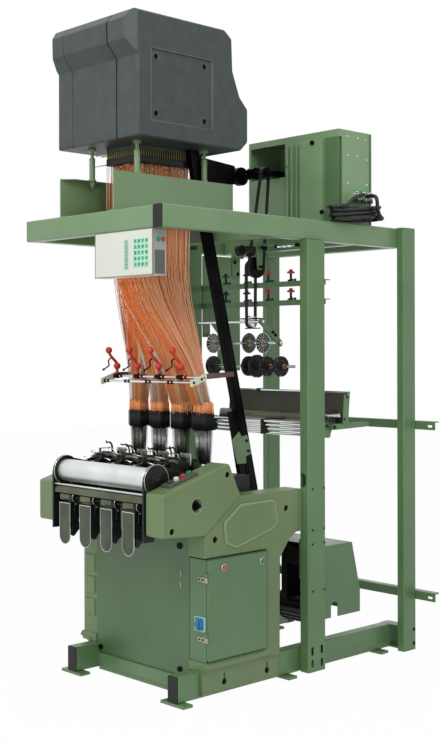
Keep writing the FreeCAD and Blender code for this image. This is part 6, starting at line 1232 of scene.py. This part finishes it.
def weaving_head_fittings():
    """Black posts, blocks and hooks, bright wire loops and screws on each weaving head. Hooks and
    loops lean by chance, as wires that were bent by hand do."""
    black, bright, loops = [], [], []
    for k, x in enumerate(HEAD_X):
        at = np.array((x, 0, 0))
        lean = rng.uniform(-9, 9, 4)
        hook = LEFT_HOOK + np.outer([0, 0, 1, 1, 1], (lean[0], 0, lean[1]))
        black.append(bent(at + hook, 3.8, 8, 5, (1.4, 1.2, 1, 0.9)))
        if k % 2 == 0:
            black.append(bent(at + RIGHT_HOOK, 3.6, 8, 5, (1.3, 1, 0.9, 0.9)))
        for dx, y, z, wide, deep, tall in HEAD_BLOCKS:
            black.append(brick((x + dx - wide / 2, x + dx + wide / 2), (y, y + deep), (z, z + tall), 2))
        black += [rod((x - 46, y, z), (x + 46, y, z), 4, 10) for y, z in HEAD_BARS]
        stud = [(0, 7), (16, 7), (17, 9), (24, 9), (25, 7)]
        black += [turned(at + foot, UP, stud, 12) for foot in HEAD_STUDS]
        loops.append(bent(at + FRONT_LOOP, 1.7, 6, 5))
        loops.append(bent(at + REAR_LOOP + np.outer((0, 0, lean[2], lean[3], 0), (0, 0, 1)), 1.7, 6, 5))
        loops.append(bent(at + LOW_LOOP, 1.6, 6, 5))
        bright += bolts(at + HEAD_SCREWS, UP, 3.6, 3, 8)
        bright += bricks([(x - 8, x + 14, 30, 52, 984, 989), (x - 30, x - 18, 150, 172, 1004, 1008)])
    mesh_piece("weaving_head_blocks", black, machine_black, slot="machine_black")
    mesh_piece("weaving_head_wires", loops, zinc)
    mesh_piece("weaving_head_screws", bright, steel)


# ---- rear cabinet
STRIPS = ((50, 62, 1014), (80, 92, 1014), (116, 126, 1014), (150, 293, 1006))      # X, X and front
CONNECTORS_Y = (1123.0, 1173.0, 1223.0)


def cabinet_fittings():
    """The cabinet front's raised strips, and chrome connectors with their blocks and green clip."""
    strips = bricks([(x0, x1, y, 1024, 2101, 2509) for x0, x1, y in STRIPS], 1.5)
    mesh_piece("cabinet_strips", strips, cabinet_lit_green)
    screws = [bolt((236, 1006, 2497), FRONT, 12, 9), bolt((296, 1008, 2157), FRONT, 11, 8),
              bolt((56, 1014, 2400), FRONT, 4.5, 3)]
    mesh_piece("cabinet_strip_screws", screws, black_oxide)
    # A darker green plate, flush over the recessed face right of the strips: painted shade, where that face
    # lies in shadow.
    mesh_piece("cabinet_recess_shade_plate", bricks([(296, 384.8, 1026, 1030, 2099, 2516)]), green_dark)
    shells, black = [], []
    for y in CONNECTORS_Y:
        shell = [(y - 20, 2216), (y + 20, 2216), (y + 20, 2246), (y + 10, 2256), (y - 10, 2256),
                 (y - 20, 2246)]
        neck = [(0, 13), (9, 13), (11, 11), (14, 11)]
        shells += [slab(shell, "x", 402, 419, 3), turned((418, y, 2233), RIGHT, neck, 18)]
        black += bricks([(403, 421, y - 15, y + 15, 2205, 2217)], 1.5)
        black += bricks([(418, 421, y - 12, y + 12, 2246, 2252)])
    mesh_piece("connector_shells", shells, chrome, slot="steel")
    mesh_piece("connector_blocks", black, machine_black, slot="black_plastic")
    clip = bricks([(402, 416, 1110, 1180, 2256, 2262)], 1)
    mesh_piece("connector_clip", clip, bar_green, slot="green_paint")


# ---- plinth, drive and platform parts
WHEELS_Y, WHEELS_Z = (716.0, 786.0), 1972


def small_panels():
    """The plinth below the front panel, the feed plate's front strip and the drive's bracket."""
    mesh_piece("plinth", bricks([(-322, 322, 131, 137, 2, 80.5)], 1), green_posts)
    mesh_piece("feed_plate_edge", bricks([(-399.6, -394.4, 862, 912, 1560, 1978)], 1), green_posts)
    bracket = [(838, 420), (838, 596), (846, 604), (866, 604), (866, 412), (846, 412)]
    mesh_piece("drive_bracket", [slab(bracket, "x", 296, 301, 3)], green_dark)
    dark = [slab([(847, z - 14), (858, z - 20), (858, z + 10), (850, z + 18)], "x", 300.4, 301.8, 3)
            for z in (444, 508, 572)]
    dark += bolts([(301, 852, z) for z in (424, 592)], RIGHT, 4, 3)
    mesh_piece("drive_bracket_slots", dark, machine_black)


def platform_wheels():
    """Two black guide wheels on cross shafts, on a plate that the idler's hanger carries."""
    wheel = [(0, 8), (0, 24), (3, 26), (8, 26), (10, 22), (20, 22), (22, 26), (27, 26), (30, 24), (30, 8)]
    black = []
    for y in WHEELS_Y:
        black.append(turned((14, y, WHEELS_Z), RIGHT, wheel, 28))
        black.append(rod((2, y, WHEELS_Z), (78, y, WHEELS_Z), 5))
    mesh_piece("guide_wheels", black + bricks([(74, 82, 702, 802, 1960, 1990)], 1), machine_black)


# ---- light and floor
def softbox(name, at, towards, size, watts):
    """A square lamp that faces a point."""
    data = bpy.data.lights.new(name, "AREA")
    data.shape = "RECTANGLE"
    data.size, data.size_y = size
    data.energy = watts
    lamp = bpy.data.objects.new(name, data)
    lamp.location = at
    lamp.rotation_euler = (Vector(towards) - Vector(at)).to_track_quat("-Z", "Y").to_euler()
    bpy.context.scene.collection.objects.link(lamp)


def seen_ray(tree):
    """1 for rays from the camera, a mirror or glass, and 0 for the light that things receive."""
    ray = add(tree, "LightPath")
    either = add(tree, "Math", {0: ray.outputs["Is Camera Ray"], 1: ray.outputs["Is Transmission Ray"]},
                 operation="MAXIMUM")
    seen = add(tree, "Math", {0: either.outputs[0], 1: ray.outputs["Is Glossy Ray"]}, operation="MAXIMUM")
    return seen.outputs[0]


SURROUND_STRENGTH = 0.42


def world_light():
    """A soft grey surround that lights the loom, and plain white where the camera sees past it."""
    world = bpy.data.worlds.new("studio")
    bpy.context.scene.world = world
    world.use_nodes = True
    tree = world.node_tree
    tree.nodes.clear()
    seen = seen_ray(tree)
    around = add(tree, "Background", {"Color": linear("#e8ecea"), "Strength": SURROUND_STRENGTH})
    plain = add(tree, "Background", {"Color": linear("#ffffff"), "Strength": 1.0})
    mixed = add(tree, "MixShader", {0: seen, 1: around.outputs[0], 2: plain.outputs[0]})
    add(tree, "OutputWorld", {"Surface": mixed.outputs[0]})


FLOOR_REACH, FLOOR_Z = 14.0, -0.001         # metres
FLOOR_GLOW = 0.975                          # how much of the floor is plain white to the camera


def studio_floor():
    """A plain pale floor, nearly white where the camera looks at it, that keeps the shadow."""
    made = bpy.data.materials.new("pale studio floor")
    made.use_nodes = True
    tree = made.node_tree
    tree.nodes.clear()
    matt = add(tree, "BsdfDiffuse", {"Color": linear("#f4f4f2")})
    glow = add(tree, "Emission", {"Color": linear("#ffffff"), "Strength": 1.0})
    share = add(tree, "Math", {0: seen_ray(tree), 1: FLOOR_GLOW}, operation="MULTIPLY")
    mixed = add(tree, "MixShader", {0: share.outputs[0], 1: matt.outputs[0], 2: glow.outputs[0]})
    add(tree, "OutputMaterial", {"Surface": mixed.outputs[0]})
    mesh = bpy.data.meshes.new("studio_floor")
    corners = box_of(-FLOOR_REACH, FLOOR_REACH, -FLOOR_REACH, FLOOR_REACH)
    mesh.from_pydata([(x, y, FLOOR_Z) for x, y in corners], [], [(0, 1, 2, 3)])
    mesh.materials.append(made)
    floor = bpy.data.objects.new("studio_floor", mesh)
    bpy.context.scene.collection.objects.link(floor)


# Name, place, the point it faces, size (all in metres) and watts.
SOFTBOXES = (("key", (4.0, -1.6, 4.6), (0.0, 0.0, 1.5), (2.6, 2.6), 92),
             ("front", (-0.4, -4.4, 4.4), (0.0, -0.2, 1.4), (3.0, 2.4), 104),
             ("top", (0.0, 0.2, 5.2), (0.0, 0.0, 0.0), (3.4, 3.4), 48),
             ("low", (2.6, -4.4, 1.3), (0.0, -0.3, 1.5), (2.2, 1.6), 34))

# ---- everything is made, in this order
for make in (make_camera, finish_solids, cable_hank, harness, collars, springs_and_heddles, fasteners,
             warp_tray, levers, feed_discs, feed_knobs, feed_brackets, guard_fittings, casting_rims,
             control_box_face, door_fittings, head_fittings, takeup_fittings, weaving_head_fittings,
             cabinet_fittings, small_panels, platform_wheels, world_light, studio_floor):
    make()
for softbox_form in SOFTBOXES:
    softbox(*softbox_form)

bpy.context.scene.view_settings.view_transform = "Standard"
